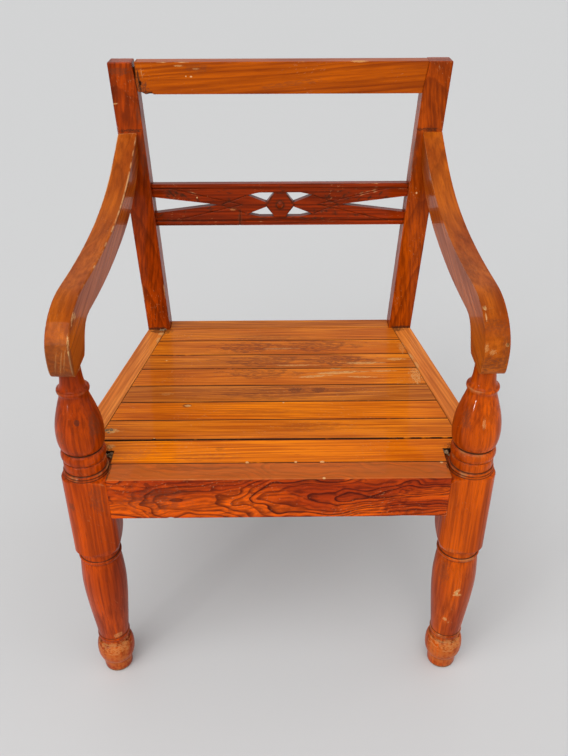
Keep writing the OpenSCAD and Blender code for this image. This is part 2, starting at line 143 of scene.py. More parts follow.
class Graph:
    """Adds nodes to one node tree and wires them up."""

    def __init__(self, tree: bpy.types.NodeTree) -> None:
        """Starts work on a tree."""
        self.tree = tree

    def feed(self, node: bpy.types.Node, feeds: dict) -> bpy.types.Node:
        """Sets a node's inputs.

        Args:
            node: The node.
            feeds: Values or sockets, by the input's name or number.

        Returns:
            The same node.
        """
        for key, value in feeds.items():
            if isinstance(value, bpy.types.NodeSocket):
                self.tree.links.new(value, node.inputs[key])
            else:
                node.inputs[key].default_value = value
        return node

    def add(self, kind: str, feeds: dict | None = None, **settings: object) -> bpy.types.Node:
        """Adds one node.

        Args:
            kind: The node's type.
            feeds: Values or sockets for its inputs.
            **settings: Its properties.

        Returns:
            The new node.
        """
        node = self.tree.nodes.new(kind)
        for name, value in settings.items():
            setattr(node, name, value)
        return self.feed(node, feeds or {})

    def maths(self, operation: str, *values: Feed) -> bpy.types.NodeSocket:
        """Adds a Math node and returns its result."""
        return self.add("ShaderNodeMath", dict(enumerate(values)), operation=operation).outputs[0]

    def vector(self, operation: str, *values: Feed) -> bpy.types.NodeSocket:
        """Adds a Vector Math node and returns its vector, or its value for LENGTH."""
        node = self.add("ShaderNodeVectorMath", dict(enumerate(values)), operation=operation)
        return node.outputs["Value" if operation == "LENGTH" else "Vector"]

    def noise(self, vector: Feed, detail: float = 2.0, stretch: Triple = (1, 1, 1)) -> bpy.types.Node:
        """Adds a noise texture.

        Args:
            vector: Where the noise is read.
            detail: Number of finer layers in it.
            stretch: Features per metre along each axis.

        Returns:
            The texture node.
        """
        scaled = self.vector("MULTIPLY", vector, stretch)
        return self.add("ShaderNodeTexNoise", {"Vector": scaled, "Scale": 1.0, "Detail": detail})

    def step(self, value: Feed, low: Feed, high: Feed) -> bpy.types.NodeSocket:
        """Adds a smooth step from 0 to 1.

        Args:
            value: What is stepped.
            low: Where the step starts.
            high: Where it ends.

        Returns:
            The stepped value.
        """
        feeds = {"Value": value, "From Min": low, "From Max": high}
        node = self.add("ShaderNodeMapRange", feeds, interpolation_type="SMOOTHSTEP")
        return node.outputs["Result"]

    def lay(self, share: Feed, below: Feed, above: Feed, how: str = "MIX") -> bpy.types.NodeSocket:
        """Lays one colour over another.

        Args:
            share: How much of the upper colour shows.
            below: The lower colour.
            above: The upper colour.
            how: The blend type.

        Returns:
            The resulting colour.
        """
        feeds = {0: share, 6: below, 7: above}
        return self.add("ShaderNodeMix", feeds, data_type="RGBA", blend_type=how).outputs[2]


def rgba(colour: Colour) -> tuple[float, float, float, float]:
    """Adds a full alpha to a colour."""
    return (*colour, 1.0)


@dataclass(frozen=True)
class GroupSocket:
    """One named input or output of a shared node group."""

    name: str
    kind: str = "Float"
    value: float | tuple | None = None


def shared_group(
    name: str, inputs: list[GroupSocket], outputs: list[GroupSocket]
) -> tuple[bpy.types.NodeTree, Graph, bpy.types.Node, bpy.types.Node]:
    """Starts a node group with its sockets.

    Args:
        name: What the group is called.
        inputs: Its inputs.
        outputs: Its outputs.

    Returns:
        The group, a graph to fill it with, its input node and its output node.
    """
    tree = bpy.data.node_groups.new(name, "ShaderNodeTree")
    for sockets, way in ((inputs, "INPUT"), (outputs, "OUTPUT")):
        for socket in sockets:
            made = tree.interface.new_socket(
                name=socket.name, in_out=way, socket_type=f"NodeSocket{socket.kind}"
            )
            if socket.value is not None:
                made.default_value = socket.value
    graph = Graph(tree)
    return tree, graph, graph.add("NodeGroupInput"), graph.add("NodeGroupOutput")


@dataclass(frozen=True)
class GrainScale:
    """Features per metre of each layer of the grain, along X and across it, and its thresholds."""

    wander: Triple = (2.2, 13, 13)
    swirl: Triple = (11, 17, 17)
    slow: Triple = (4, 55, 55)
    fibres: Triple = (7, 240, 240)
    pores: Triple = (48, 950, 950)
    tone: Triple = (4, 24, 24)
    late_rise: Band = (0.25, 0.86)
    late_fall: Band = (0.88, 1.0)
    fibre_band: Band = (0.36, 0.68)
    pore_band: Band = (0.6, 0.74)
    tone_band: Band = (0.3, 0.7)


@dataclass(frozen=True)
class WoodSurface:
    """How pores, fibres and tone change the shade, the roughness and the height of the wood."""

    pore_shade: float = 0.35
    roughness: float = 0.24
    fibre_roughness: float = 0.1
    tone_roughness: float = 0.1
    sink: float = -0.5


@dataclass(frozen=True)
class PatchShape:
    """How a ragged spot is torn and flecked, in features across its own radius."""

    torn: Triple = (2.6, 2.6, 2.6)
    flecks: Triple = (7.0, 7.0, 7.0)
    depth: float = 2.2
    rim_band: Band = (0.55, 1.0)
    fleck_band: Band = (0.52, 0.4)


@dataclass(frozen=True)
class BrokenLine:
    """How wear and dirt come and go along a line, in features per metre."""

    fine: Triple = (60, 60, 60)
    broad: Triple = (9, 9, 9)
    fine_share: float = 0.55
    broad_share: float = 0.45
    start: float = 0.78
    reach: float = 0.5
    softness: float = 0.14


@dataclass(frozen=True)
class ScratchLines:
    """How fine scratches lie and where they gather, in features per metre."""

    tilt: Triple = (0.2, 0.35, 0.3)
    lines: Triple = (26, 620, 620)
    gathering: Triple = (14, 14, 14)
    line_band: Band = (0.66, 0.74)
    gathering_band: Band = (0.5, 0.62)


class SharedEffects:
    """The node groups that the finishes share, each built once."""

    def __init__(self) -> None:
        """Builds every group."""
        self.scale = GrainScale()
        self.grain = self._grain()
        self.teak = self._teak()
        self.patch = self._patch()
        # also masks the dirt and painted shade of hollows
        self.rubbed = self._rubbed()
        self.scratches = self._scratches()

    def _grain(self) -> bpy.types.NodeTree:
        """Builds the growth rings round a pith along X, fibres, pores and slow changes of tone.

        Returns:
            The node group.
        """
        scale = self.scale
        tree, graph, given, result = shared_group(
            "Teak grain",
            [
                GroupSocket("Vector", "Vector"),
                GroupSocket("Ring width", value=0.004),
                GroupSocket("Wander", value=0.006),
                GroupSocket("Swirl", value=0.0),
                GroupSocket("Crispness", value=1.0),
            ],
            [GroupSocket(name) for name in ("Rings", "Fibres", "Pores", "Tone")],
        )
        place = given.outputs["Vector"]
        half = (0.5, 0.5, 0.5)

        def drift(stretch: Triple, amount: Feed, detail: float) -> bpy.types.NodeSocket:
            """Shifts the grain by one noise.

            Args:
                stretch: Features per metre of the noise along each axis.
                amount: How far the grain is shifted.
                detail: Number of finer layers in the noise.

            Returns:
                The shift.
            """
            colour = graph.noise(place, detail, stretch).outputs["Color"]
            centred = graph.vector("SUBTRACT", colour, half)
            spread = graph.add("ShaderNodeCombineXYZ", {0: amount, 1: amount, 2: amount})
            return graph.vector("MULTIPLY", centred, spread.outputs[0])

        bent = graph.vector("ADD", place, drift(scale.wander, given.outputs["Wander"], 3.0))
        bent = graph.vector("ADD", bent, drift(scale.swirl, given.outputs["Swirl"], 2.0))
        radius = graph.vector("LENGTH", graph.vector("MULTIPLY", bent, (0, 1, 1)))
        phase = graph.maths("DIVIDE", radius, given.outputs["Ring width"])
        slow = graph.noise(place, 1.0, scale.slow).outputs["Fac"]
        phase = graph.maths("ADD", phase, graph.maths("MULTIPLY", slow, 0.9))
        turn = graph.maths("FRACT", phase)
        late = graph.maths(
            "MULTIPLY",
            graph.step(turn, *scale.late_rise),
            graph.maths("SUBTRACT", 1.0, graph.step(turn, *scale.late_fall)),
        )
        late = graph.maths("POWER", late, given.outputs["Crispness"])
        number = graph.maths("FLOOR", phase)
        each = graph.add(
            "ShaderNodeTexWhiteNoise", {"W": number}, noise_dimensions="1D"
        ).outputs["Value"]
        weight = graph.maths("MULTIPLY_ADD", each, 0.75, 0.25)
        fibres = graph.noise(bent, 3.0, scale.fibres).outputs["Fac"]
        pores = graph.noise(place, 1.0, scale.pores).outputs["Fac"]
        tone = graph.noise(bent, 3.0, scale.tone).outputs["Fac"]
        graph.feed(
            result,
            {
                "Rings": graph.maths("MULTIPLY", late, weight),
                "Fibres": graph.step(fibres, *scale.fibre_band),
                "Pores": graph.step(pores, *scale.pore_band),
                "Tone": graph.step(tone, *scale.tone_band),
            },
        )
        return tree

    def _teak(self) -> bpy.types.NodeTree:
        """Builds the colour, roughness and relief of varnished teak.

        Returns:
            The node group.
        """
        tree, graph, given, result = shared_group(
            "Varnished teak",
            [
                GroupSocket("Vector", "Vector"),
                GroupSocket("Early wood", "Color", (0.6, 0.2, 0.04, 1)),
                GroupSocket("Late wood", "Color", (0.2, 0.05, 0.01, 1)),
                GroupSocket("Warm tint", "Color", (0.6, 0.12, 0.02, 1)),
                GroupSocket("Figure", value=0.4),
                GroupSocket("Fibre", value=0.4),
                GroupSocket("Ring width", value=0.004),
                GroupSocket("Wander", value=0.006),
                GroupSocket("Swirl", value=0.0),
                GroupSocket("Crispness", value=1.0),
            ],
            [GroupSocket("Color", "Color"), GroupSocket("Roughness"), GroupSocket("Height")],
        )
        grain = graph.add("ShaderNodeGroup", node_tree=self.grain)
        shared = ("Vector", "Ring width", "Wander", "Swirl", "Crispness")
        graph.feed(grain, {key: given.outputs[key] for key in shared})
        body = graph.lay(
            grain.outputs["Tone"], given.outputs["Early wood"], given.outputs["Warm tint"]
        )
        dark = given.outputs["Late wood"]
        ringed = graph.lay(
            graph.maths("MULTIPLY", grain.outputs["Rings"], given.outputs["Figure"]), body, dark
        )
        streaked = graph.lay(
            graph.maths("MULTIPLY", grain.outputs["Fibres"], given.outputs["Fibre"]), ringed, dark
        )
        surface = WoodSurface()
        shade = graph.maths("MULTIPLY", grain.outputs["Pores"], surface.pore_shade)
        pored = graph.lay(shade, streaked, dark)
        uneven = graph.maths(
            "MULTIPLY_ADD", grain.outputs["Fibres"], surface.fibre_roughness, surface.roughness
        )
        rough = graph.maths(
            "MULTIPLY_ADD", grain.outputs["Tone"], surface.tone_roughness, uneven
        )
        relief = graph.maths("ADD", grain.outputs["Pores"], grain.outputs["Rings"])
        graph.feed(
            result,
            {
                "Color": pored,
                "Roughness": rough,
                "Height": graph.maths("MULTIPLY", relief, surface.sink),
            },
        )
        return tree

    def _patch(self) -> bpy.types.NodeTree:
        """Builds a ragged spot, whose vector is 1 long at its rim.

        Returns:
            The node group.
        """
        tree, graph, given, result = shared_group(
            "Ragged patch",
            [GroupSocket("Vector", "Vector"), GroupSocket("Ragged", value=0.6)],
            [GroupSocket("Mask")],
        )
        place = given.outputs["Vector"]
        shape = PatchShape()
        torn = graph.noise(place, 3.0, shape.torn).outputs["Fac"]
        flecks = graph.noise(place, 2.0, shape.flecks).outputs["Fac"]
        rim = graph.maths("MULTIPLY", graph.maths("SUBTRACT", torn, 0.5), given.outputs["Ragged"])
        rim = graph.maths("MULTIPLY", rim, shape.depth)
        reach = graph.maths("ADD", graph.vector("LENGTH", place), rim)
        solid = graph.maths("SUBTRACT", 1.0, graph.step(reach, *shape.rim_band))
        holes = graph.step(flecks, *shape.fleck_band)
        holes = graph.maths("MULTIPLY", holes, given.outputs["Ragged"])
        graph.feed(result, {"Mask": graph.maths("SUBTRACT", solid, holes)})
        result.inputs["Mask"].links[0].from_node.use_clamp = True
        return tree

    def _rubbed(self) -> bpy.types.NodeTree:
        """Builds the mask of rubbing on an edge, or of dirt and painted shade in a hollow.

        Returns:
            The node group.
        """
        tree, graph, given, result = shared_group(
            "Broken line",
            [
                GroupSocket("Line"),
                GroupSocket("Vector", "Vector"),
                GroupSocket("Amount", value=0.5),
            ],
            [GroupSocket("Mask")],
        )
        place = given.outputs["Vector"]
        line = BrokenLine()
        fine = graph.noise(place, 3.0, line.fine).outputs["Fac"]
        broad = graph.noise(place, 1.0, line.broad).outputs["Fac"]
        fine = graph.maths("MULTIPLY", fine, line.fine_share)
        gate = graph.maths("ADD", fine, graph.maths("MULTIPLY", broad, line.broad_share))
        earlier = graph.maths("MULTIPLY", given.outputs["Amount"], line.reach)
        start = graph.maths("SUBTRACT", line.start, earlier)
        kept = graph.step(gate, start, graph.maths("ADD", start, line.softness))
        graph.feed(result, {"Mask": graph.maths("MULTIPLY", kept, given.outputs["Line"])})
        return tree

    def _scratches(self) -> bpy.types.NodeTree:
        """Builds short fine scratches that lie mostly with the grain.

        Returns:
            The node group.
        """
        tree, graph, given, result = shared_group(
            "Fine scratches",
            [GroupSocket("Vector", "Vector"), GroupSocket("Amount", value=0.3)],
            [GroupSocket("Mask")],
        )
        scratch = ScratchLines()
        tilted = graph.add(
            "ShaderNodeMapping", {"Vector": given.outputs["Vector"], "Rotation": scratch.tilt}
        ).outputs[0]
        lines = graph.noise(tilted, 1.0, scratch.lines).outputs["Fac"]
        where = graph.noise(given.outputs["Vector"], 1.0, scratch.gathering).outputs["Fac"]
        fine = graph.maths(
            "MULTIPLY",
            graph.step(lines, *scratch.line_band),
            graph.step(where, *scratch.gathering_band),
        )
        graph.feed(result, {"Mask": graph.maths("MULTIPLY", fine, given.outputs["Amount"])})
        return tree


# ---- finishes ----


@dataclass(frozen=True)
class Mark:
    """A spot of dirt, wear, figure or painted shade: where in its piece's box, and its reach in
    millimetres.
    """

    kind: MarkKind
    share: Triple
    reach: Triple
    strength: float = 1.0
    ragged: float = 0.6
    turn: Triple = (0.0, 0.0, 0.0)


@dataclass(frozen=True)
class MarkLook:
    """How one kind of mark looks: its colour, and what it does to the varnish."""

    colour: Colour
    roughness: float
    varnish: float


MARK_LOOKS = {
    # Near black: dirt, and also the painted shade in hollows, seams and carved outlines.
    MarkKind.GRIME_AND_SHADE: MarkLook((0.045, 0.019, 0.01), 0.8, 0.1),
    MarkKind.SCUFF: MarkLook((0.62, 0.32, 0.11), 0.62, 0.25),
    MarkKind.BARE: MarkLook((0.75, 0.46, 0.2), 0.75, 0.0),
    MarkKind.STAIN: MarkLook((0.13, 0.035, 0.014), 0.42, 0.6),
    MarkKind.KNOT: MarkLook((0.1, 0.02, 0.008), 0.25, 1.0),
    MarkKind.FADED: MarkLook((0.5, 0.125, 0.022), 0.4, 0.8),
}


@dataclass(frozen=True)
class TeakFinish:
    """Varnished teak of one plank."""

    early: Colour
    tint: Colour
    late: Colour
    figure: float = 0.4
    fibre: float = 0.35
    ring: float = 4 * MM
    wander: float = 7 * MM
    swirl: float = 0.0
    crisp: float = 1.0
    rubbed: float = 0.45
    # How much dirt and painted shade the hollows get.
    grime: float = 0.6
    scratched: float = 0.3
    varnish: float = 0.24
    dull: float = 0.0
    worn_wood: Colour = (0.6, 0.31, 0.13)
    amber: Colour = (1.0, 0.42, 0.12)
    specular: float = 0.04
    coat_roughness: float = 0.07
    coat_ior: float = 1.4
    relief: float = 0.25
    relief_depth: float = 0.3 * MM

    def towards(self, other: "TeakFinish", share: float) -> "TeakFinish":
        """Mixes this finish's colours with another's.

        Args:
            other: The other finish.
            share: How much of the other one is in it.

        Returns:
            This finish with the mixed colours.
        """
        mixed = {
            name: tuple(Vector(getattr(self, name)).lerp(Vector(getattr(other, name)), share))
            for name in ("early", "tint", "late")
        }
        return replace(self, **mixed)

    def paint(
        self,
        name: str,
        effects: SharedEffects,
        plank: "Plank",
        marks: tuple[Mark, ...] = (),
    ) -> bpy.types.Material:
        """Makes the material of one piece.

        Args:
            name: Name of the piece's node.
            effects: The shared node groups.
            plank: How the piece was sawn.
            marks: The marks on this piece.

        Returns:
            The material.
        """
        material = bpy.data.materials.new(f"{name}_teak")
        material.use_nodes = True
        tree = material.node_tree
        tree.nodes.clear()
        graph = Graph(tree)
        place = graph.add("ShaderNodeTexCoord").outputs["Object"]
        level = graph.add("ShaderNodeMapping", {"Vector": place, "Rotation": plank.lean})
        grain = graph.add(
            "ShaderNodeMapping",
            {"Vector": level.outputs[0], "Rotation": plank.axis.value, "Location": plank.pith},
        ).outputs[0]
        wood = graph.add("ShaderNodeGroup", node_tree=effects.teak)
        graph.feed(
            wood,
            {
                "Vector": grain,
                "Early wood": rgba(self.early),
                "Late wood": rgba(self.late),
                "Warm tint": rgba(self.tint),
                "Figure": self.figure,
                "Fibre": self.fibre,
                "Ring width": self.ring,
                "Wander": self.wander,
                "Swirl": self.swirl,
                "Crispness": self.crisp,
            },
        )
        colour = wood.outputs["Color"]
        rough = graph.maths("ADD", wood.outputs["Roughness"], self.dull)
        coat: Feed = self.varnish

        def cover(mask: Feed, look: MarkLook) -> None:
            """Lays one mark over what is there so far."""
            nonlocal colour, rough, coat
            colour = graph.lay(mask, colour, rgba(look.colour))
            rough = self._towards(graph, mask, rough, look.roughness)
            coat = self._towards(graph, mask, coat, look.varnish * self.varnish)

        scratches = graph.add("ShaderNodeGroup", node_tree=effects.scratches)
        graph.feed(scratches, {"Vector": grain, "Amount": self.scratched})
        cover(scratches.outputs["Mask"], MarkLook(self.worn_wood, 0.5, 0.6))
        for attribute, amount, look in (
            (RUBBED, self.rubbed, MarkLook(self.worn_wood, 0.45, 0.5)),
            # Dirt and painted shade in concave bends and seams.
            (HOLLOW, self.grime, MARK_LOOKS[MarkKind.GRIME_AND_SHADE]),
        ):
            line = graph.add("ShaderNodeAttribute", attribute_name=attribute).outputs["Fac"]
            broken = graph.add("ShaderNodeGroup", node_tree=effects.rubbed)
            graph.feed(broken, {"Line": line, "Vector": place, "Amount": amount})
            cover(broken.outputs["Mask"], look)
        for mark in marks:
            centred = graph.add(
                "ShaderNodeMapping",
                {
                    "Vector": place,
                    "Location": spot(name, *mark.share),
                    "Rotation": mark.turn,
                    "Scale": [reach * MM for reach in mark.reach],
                },
                vector_type="TEXTURE",
            ).outputs[0]
            patch = graph.add("ShaderNodeGroup", node_tree=effects.patch)
            graph.feed(patch, {"Vector": centred, "Ragged": mark.ragged})
            mask = graph.maths("MULTIPLY", patch.outputs["Mask"], mark.strength)
            cover(mask, MARK_LOOKS[mark.kind])
        bump = graph.add(
            "ShaderNodeBump",
            {
                "Strength": self.relief,
                "Distance": self.relief_depth,
                "Height": wood.outputs["Height"],
            },
        )
        shader = graph.add(
            "ShaderNodeBsdfPrincipled",
            {
                "Base Color": colour,
                "Roughness": rough,
                "Specular IOR Level": self.specular,
                "Specular Tint": rgba(self.amber),
                "Coat Weight": coat,
                "Coat Roughness": self.coat_roughness,
                "Coat IOR": self.coat_ior,
                "Normal": bump.outputs["Normal"],
            },
        )
        graph.add("ShaderNodeOutputMaterial", {"Surface": shader.outputs[0]})
        return material

    @staticmethod
    def _towards(graph: Graph, mask: Feed, start: Feed, end: float) -> bpy.types.NodeSocket:
        """Moves a value towards another where a mask is."""
        node = graph.add("ShaderNodeMix", {0: mask, 2: start, 3: end}, data_type="FLOAT")
        return node.outputs[0]


@dataclass(frozen=True)
class SteelFinish:
    """Plain, slightly tarnished steel of the screws."""

    bright: Colour = (0.55, 0.54, 0.52)
    tarnish: Colour = (0.2, 0.15, 0.12)

    def paint(self, name: str) -> bpy.types.Material:
        """Makes the material.

        Args:
            name: Name of the piece's node.

        Returns:
            The material.
        """
        material = bpy.data.materials.new(f"{name}_steel")
        material.use_nodes = True
        graph = Graph(material.node_tree)
        material.node_tree.nodes.clear()
        place = graph.add("ShaderNodeTexCoord").outputs["Object"]
        spots = graph.step(graph.noise(place, 3.0, (420, 420, 420)).outputs["Fac"], 0.45, 0.65)
        shader = graph.add(
            "ShaderNodeBsdfPrincipled",
            {
                "Base Color": graph.lay(spots, rgba(self.bright), rgba(self.tarnish)),
                "Roughness": graph.maths("MULTIPLY_ADD", spots, 0.3, 0.35),
                "Metallic": 1.0,
            },
        )
        graph.add("ShaderNodeOutputMaterial", {"Surface": shader.outputs[0]})
        return material


LEFT_LEG_TEAK = TeakFinish(
    early=(0.56, 0.066, 0.001), tint=(0.3, 0.03, 0.001), late=(0.08, 0.008, 0.001),
    figure=0.22, fibre=0.5, ring=5 * MM, wander=12 * MM, rubbed=0.6, grime=1.0,
    worn_wood=(0.4, 0.15, 0.05),
)
RIGHT_LEG_TEAK = TeakFinish(
    early=(0.68, 0.1, 0.001), tint=(0.34, 0.04, 0.001), late=(0.1, 0.01, 0.001),
    figure=0.22, fibre=0.48, ring=5 * MM, wander=12 * MM, rubbed=0.6, grime=1.0,
    worn_wood=(0.4, 0.15, 0.05),
)
POST_TEAK = TeakFinish(
    early=(0.46, 0.056, 0.001), tint=(0.24, 0.025, 0.001), late=(0.07, 0.008, 0.001),
    figure=0.5, fibre=0.6, rubbed=0.4,
)
SPLAT_TEAK = TeakFinish(
    early=(0.32, 0.03, 0.001), tint=(0.18, 0.016, 0.001), late=(0.04, 0.005, 0.001),
    figure=0.6, fibre=0.6, rubbed=0.45, grime=1.0,
)
TOP_TEAK = TeakFinish(
    early=(0.54, 0.104, 0.001), tint=(0.37, 0.062, 0.001), late=(0.15, 0.017, 0.001),
    figure=0.55, fibre=0.5, wander=16 * MM, ring=7 * MM,
)
ARM_TEAK = TeakFinish(
    early=(0.54, 0.12, 0.006), tint=(0.28, 0.045, 0.002), late=(0.1, 0.014, 0.001),
    figure=0.3, fibre=0.36, ring=9 * MM, wander=3 * MM, rubbed=0.7,
)
RAIL_TEAK = TeakFinish(
    early=(0.82, 0.27, 0.046), tint=(0.68, 0.185, 0.027), late=(0.3, 0.05, 0.008),
    figure=0.5, fibre=0.55,
)
FRONT_TEAK = TeakFinish(
    early=(0.84, 0.115, 0.001), tint=(0.38, 0.032, 0.001), late=(0.045, 0.003, 0.001),
    figure=1.0, fibre=0.6, ring=5.5 * MM, wander=22 * MM, swirl=46 * MM, crisp=1.4,
)
GOLD_TEAK = TeakFinish(
    early=(0.95, 0.25, 0.003), tint=(0.75, 0.165, 0.002), late=(0.36, 0.05, 0.002),
    figure=0.75, fibre=0.6, rubbed=0.2, grime=1.0, wander=12 * MM, ring=5 * MM, scratched=0.4,
)
RED_TEAK = TeakFinish(
    early=(0.68, 0.205, 0.022), tint=(0.52, 0.132, 0.012), late=(0.21, 0.038, 0.006),
    figure=0.7, fibre=0.65, rubbed=0.2, grime=1.0, wander=12 * MM, ring=5 * MM, scratched=0.4,
)
HIDDEN_TEAK = TeakFinish(
    early=(0.36, 0.13, 0.045), tint=(0.3, 0.1, 0.03), late=(0.14, 0.045, 0.015),
    figure=0.3, fibre=0.4, varnish=0.05, dull=0.3, rubbed=0.2,
)
FRESH_TEAK = TeakFinish(
    early=(0.72, 0.42, 0.17), tint=(0.6, 0.32, 0.12), late=(0.34, 0.15, 0.05),
    figure=0.4, fibre=0.6, varnish=0.0, dull=0.4, rubbed=0.0, grime=0.0,
)
CRUMB_TEAK = TeakFinish(
    early=(0.42, 0.27, 0.15), tint=(0.2, 0.12, 0.065), late=(0.08, 0.045, 0.025),
    figure=0.3, fibre=0.6, varnish=0.0, dull=0.45, rubbed=0.0, grime=0.0,
)
DIRTY_TEAK = TeakFinish(
    early=(0.05, 0.018, 0.008), tint=(0.03, 0.01, 0.005), late=(0.012, 0.005, 0.003),
    figure=0.4, fibre=0.6, varnish=0.0, dull=0.4, rubbed=0.0, grime=0.0,
)


# ---- making pieces ----


class CutFace(Enum):
    """What shows on the faces of a cut, as its place among a piece's materials."""

    FRESH = 1
    DIRTY = 2


@dataclass(frozen=True)
class Easing:
    """How the sharp edges of a piece are rounded over."""

    width: float = 1.5 * MM
    segments: int = 3
    shortest: float = 8 * MM
    sharpest: float = math.radians(28)


@dataclass(frozen=True)
class Cut:
    """A chip, nick or crack: where in its piece's box, and its reach in millimetres."""

    share: Triple
    reach: Triple
    turn: Triple = (0.0, 0.0, 0.0)
    rough: float = 0.25
    face: CutFace = CutFace.FRESH


@dataclass(frozen=True)
class WearSense:
    """The bend of a surface, per metre, where rubbing, or dirt with painted shade, starts, and the
    range it grows over.
    """

    rubbed_from: float = 45
    rubbed_range: float = 120
    hollow_from: float = 70
    hollow_range: float = 160
    beside_hollow: float = 0.3

    def rubbed(self, bend: float) -> float:
        """Returns how rubbed a vertex is, from 0 to 1."""
        return min(1.0, max(0.0, (bend - self.rubbed_from) / self.rubbed_range))

    def hollow(self, bend: float) -> float:
        """Returns how deep in a hollow a vertex is, from 0 to 1."""
        return min(1.0, max(0.0, (-bend - self.hollow_from) / self.hollow_range))


@dataclass(frozen=True)
class Plank:
    """How a piece was sawn: the way of its grain, its shift from the pith and its slope."""

    axis: GrainAxis
    pith: Triple
    lean: Triple = (0.0, 0.0, 0.0)


@dataclass
class Workshop:
    """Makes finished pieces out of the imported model's nodes."""

    effects: SharedEffects
    pieces: list[bpy.types.Object] = field(default_factory=list)
    sense: WearSense = WearSense()

    def make(
        self,
        node: str,
        slot: str,
        finish: TeakFinish,
        plank: Plank,
        easing: Easing | None = Easing(),
        marks: tuple[Mark, ...] = (),
        cuts: tuple[Cut, ...] = (),
        seam_depth: float | None = None,
        fine: float | None = None,
    ) -> bpy.types.Object:
        """Makes one finished wooden piece that stands for a node.

        Args:
            node: Name of the node.
            slot: Not used.
            finish: Its finish.
            plank: How it was sawn.
            easing: How its edges are rounded over, or None to leave them.
            marks: The marks on it.
            cuts: The chips and cracks in it.
            seam_depth: How far below its top the dark of its seams starts, dirt and painted shade in
                the gaps, or None for none.
            fine: Longest edge of a carved piece's mesh, or None to leave it.

        Returns:
            The piece.
        """
        piece = self._copy(node, easing)
        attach(piece, BODY)
        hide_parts(node)
        for number, cut in enumerate(cuts):
            self._cut(piece, node, cut, number)
        if fine is not None:
            self._refine(piece, fine)
        self._note_wear_and_shade(piece, seam_depth, spread=fine is not None)
        paints = [finish.paint(node, self.effects, plank, marks)]
        if cuts:
            paints.append(FRESH_TEAK.paint(f"{node}_fresh", self.effects, plank))
            paints.append(DIRTY_TEAK.paint(f"{node}_dirty", self.effects, plank))
        for number, paint in enumerate(paints):
            piece.data.materials[number] = paint
        piece.data.shade_smooth()
        piece.data.set_sharp_from_angle(angle=SMOOTH_UP_TO)
        even = piece.modifiers.new("even shading", "WEIGHTED_NORMAL")
        even.keep_sharp = True
        self.pieces.append(piece)
        return piece

    def _copy(self, node: str, easing: Easing | None) -> bpy.types.Object:
        """Copies a node into a clean mesh of its own and rounds over its edges.

        Args:
            node: Name of the node.
            easing: How its edges are rounded over, or None to leave them.

        Returns:
            The new piece.
        """
        bm = bmesh.new()
        bm.from_mesh(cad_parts[node].data)
        bmesh.ops.remove_doubles(bm, verts=bm.verts, dist=WELD)
        if easing is not None:
            bmesh.ops.dissolve_limit(bm, angle_limit=FLAT, verts=bm.verts, edges=bm.edges)
            self._ease(bm, easing)
        mesh = finished_mesh(bm, f"{node}_worn")
        mesh.materials.clear()
        for _ in range(1 + len(CutFace)):
            mesh.materials.append(None)
        return put_in_scene(f"{node}_worn", mesh)

    @staticmethod
    def _ease(bm: bmesh.types.BMesh, easing: Easing) -> None:
        """Rounds over the sharp outer edges of a mesh.

        Args:
            bm: The mesh.
            easing: How far and how finely.
        """
        edges = [
            edge
            for edge in bm.edges
            if edge.is_manifold
            and edge.calc_face_angle_signed(0.0) > easing.sharpest
            and edge.calc_length() > easing.shortest
        ]
        bmesh.ops.bevel(
            bm,
            geom=edges,
            offset=easing.width,
            offset_type="OFFSET",
            segments=easing.segments,
            profile=0.5,
            affect="EDGES",
            clamp_overlap=True,
            material=-1,
        )

    @staticmethod
    def _cut(piece: bpy.types.Object, node: str, cut: Cut, number: int) -> None:
        """Cuts one rough, pebble-shaped bite out of a piece.

        Args:
            piece: The piece.
            node: Name of its node.
            cut: The bite.
            number: Which of the piece's bites it is.
        """
        bm = bmesh.new()
        bmesh.ops.create_icosphere(bm, subdivisions=2, radius=1.0)
        dice = random.Random(f"{node} {number}")
        for vert in bm.verts:
            vert.co *= 1 + cut.rough * dice.uniform(-1, 1)
        reach = Vector(cut.reach) * MM
        placed = Matrix.LocRotScale(spot(node, *cut.share), Euler(cut.turn), reach)
        bmesh.ops.transform(bm, matrix=placed, verts=bm.verts)
        for face in bm.faces:
            face.material_index = cut.face.value
        mesh = finished_mesh(bm, "cutter")
        for _ in range(1 + len(CutFace)):
            mesh.materials.append(None)
        cutter = put_in_scene("cutter", mesh)
        knife = piece.modifiers.new("chip", "BOOLEAN")
        knife.operation = "DIFFERENCE"
        knife.solver = "EXACT"
        knife.material_mode = "INDEX"
        knife.object = cutter
        seen = piece.evaluated_get(bpy.context.evaluated_depsgraph_get())
        chipped = bpy.data.meshes.new_from_object(seen)
        piece.modifiers.clear()
        piece.data = chipped
        bpy.data.objects.remove(cutter)

    @staticmethod
    def _refine(piece: bpy.types.Object, longest: float) -> None:
        """Splits a mesh until its edges are short, so that wear, dirt and painted shade can follow its
        carving.

        Args:
            piece: The piece.
            longest: Length that its edges are to stay under.
        """
        bm = bmesh.new()
        bm.from_mesh(piece.data)
        bmesh.ops.dissolve_limit(bm, angle_limit=FLAT, verts=bm.verts, edges=bm.edges)
        bmesh.ops.triangulate(bm, faces=bm.faces)
        for _ in range(MOST_SPLITS):
            long = [edge for edge in bm.edges if edge.calc_length() > longest]
            if not long:
                break
            bmesh.ops.subdivide_edges(bm, edges=long, cuts=1)
            bmesh.ops.triangulate(bm, faces=[face for face in bm.faces if len(face.verts) > 3])
        bm.to_mesh(piece.data)
        bm.free()

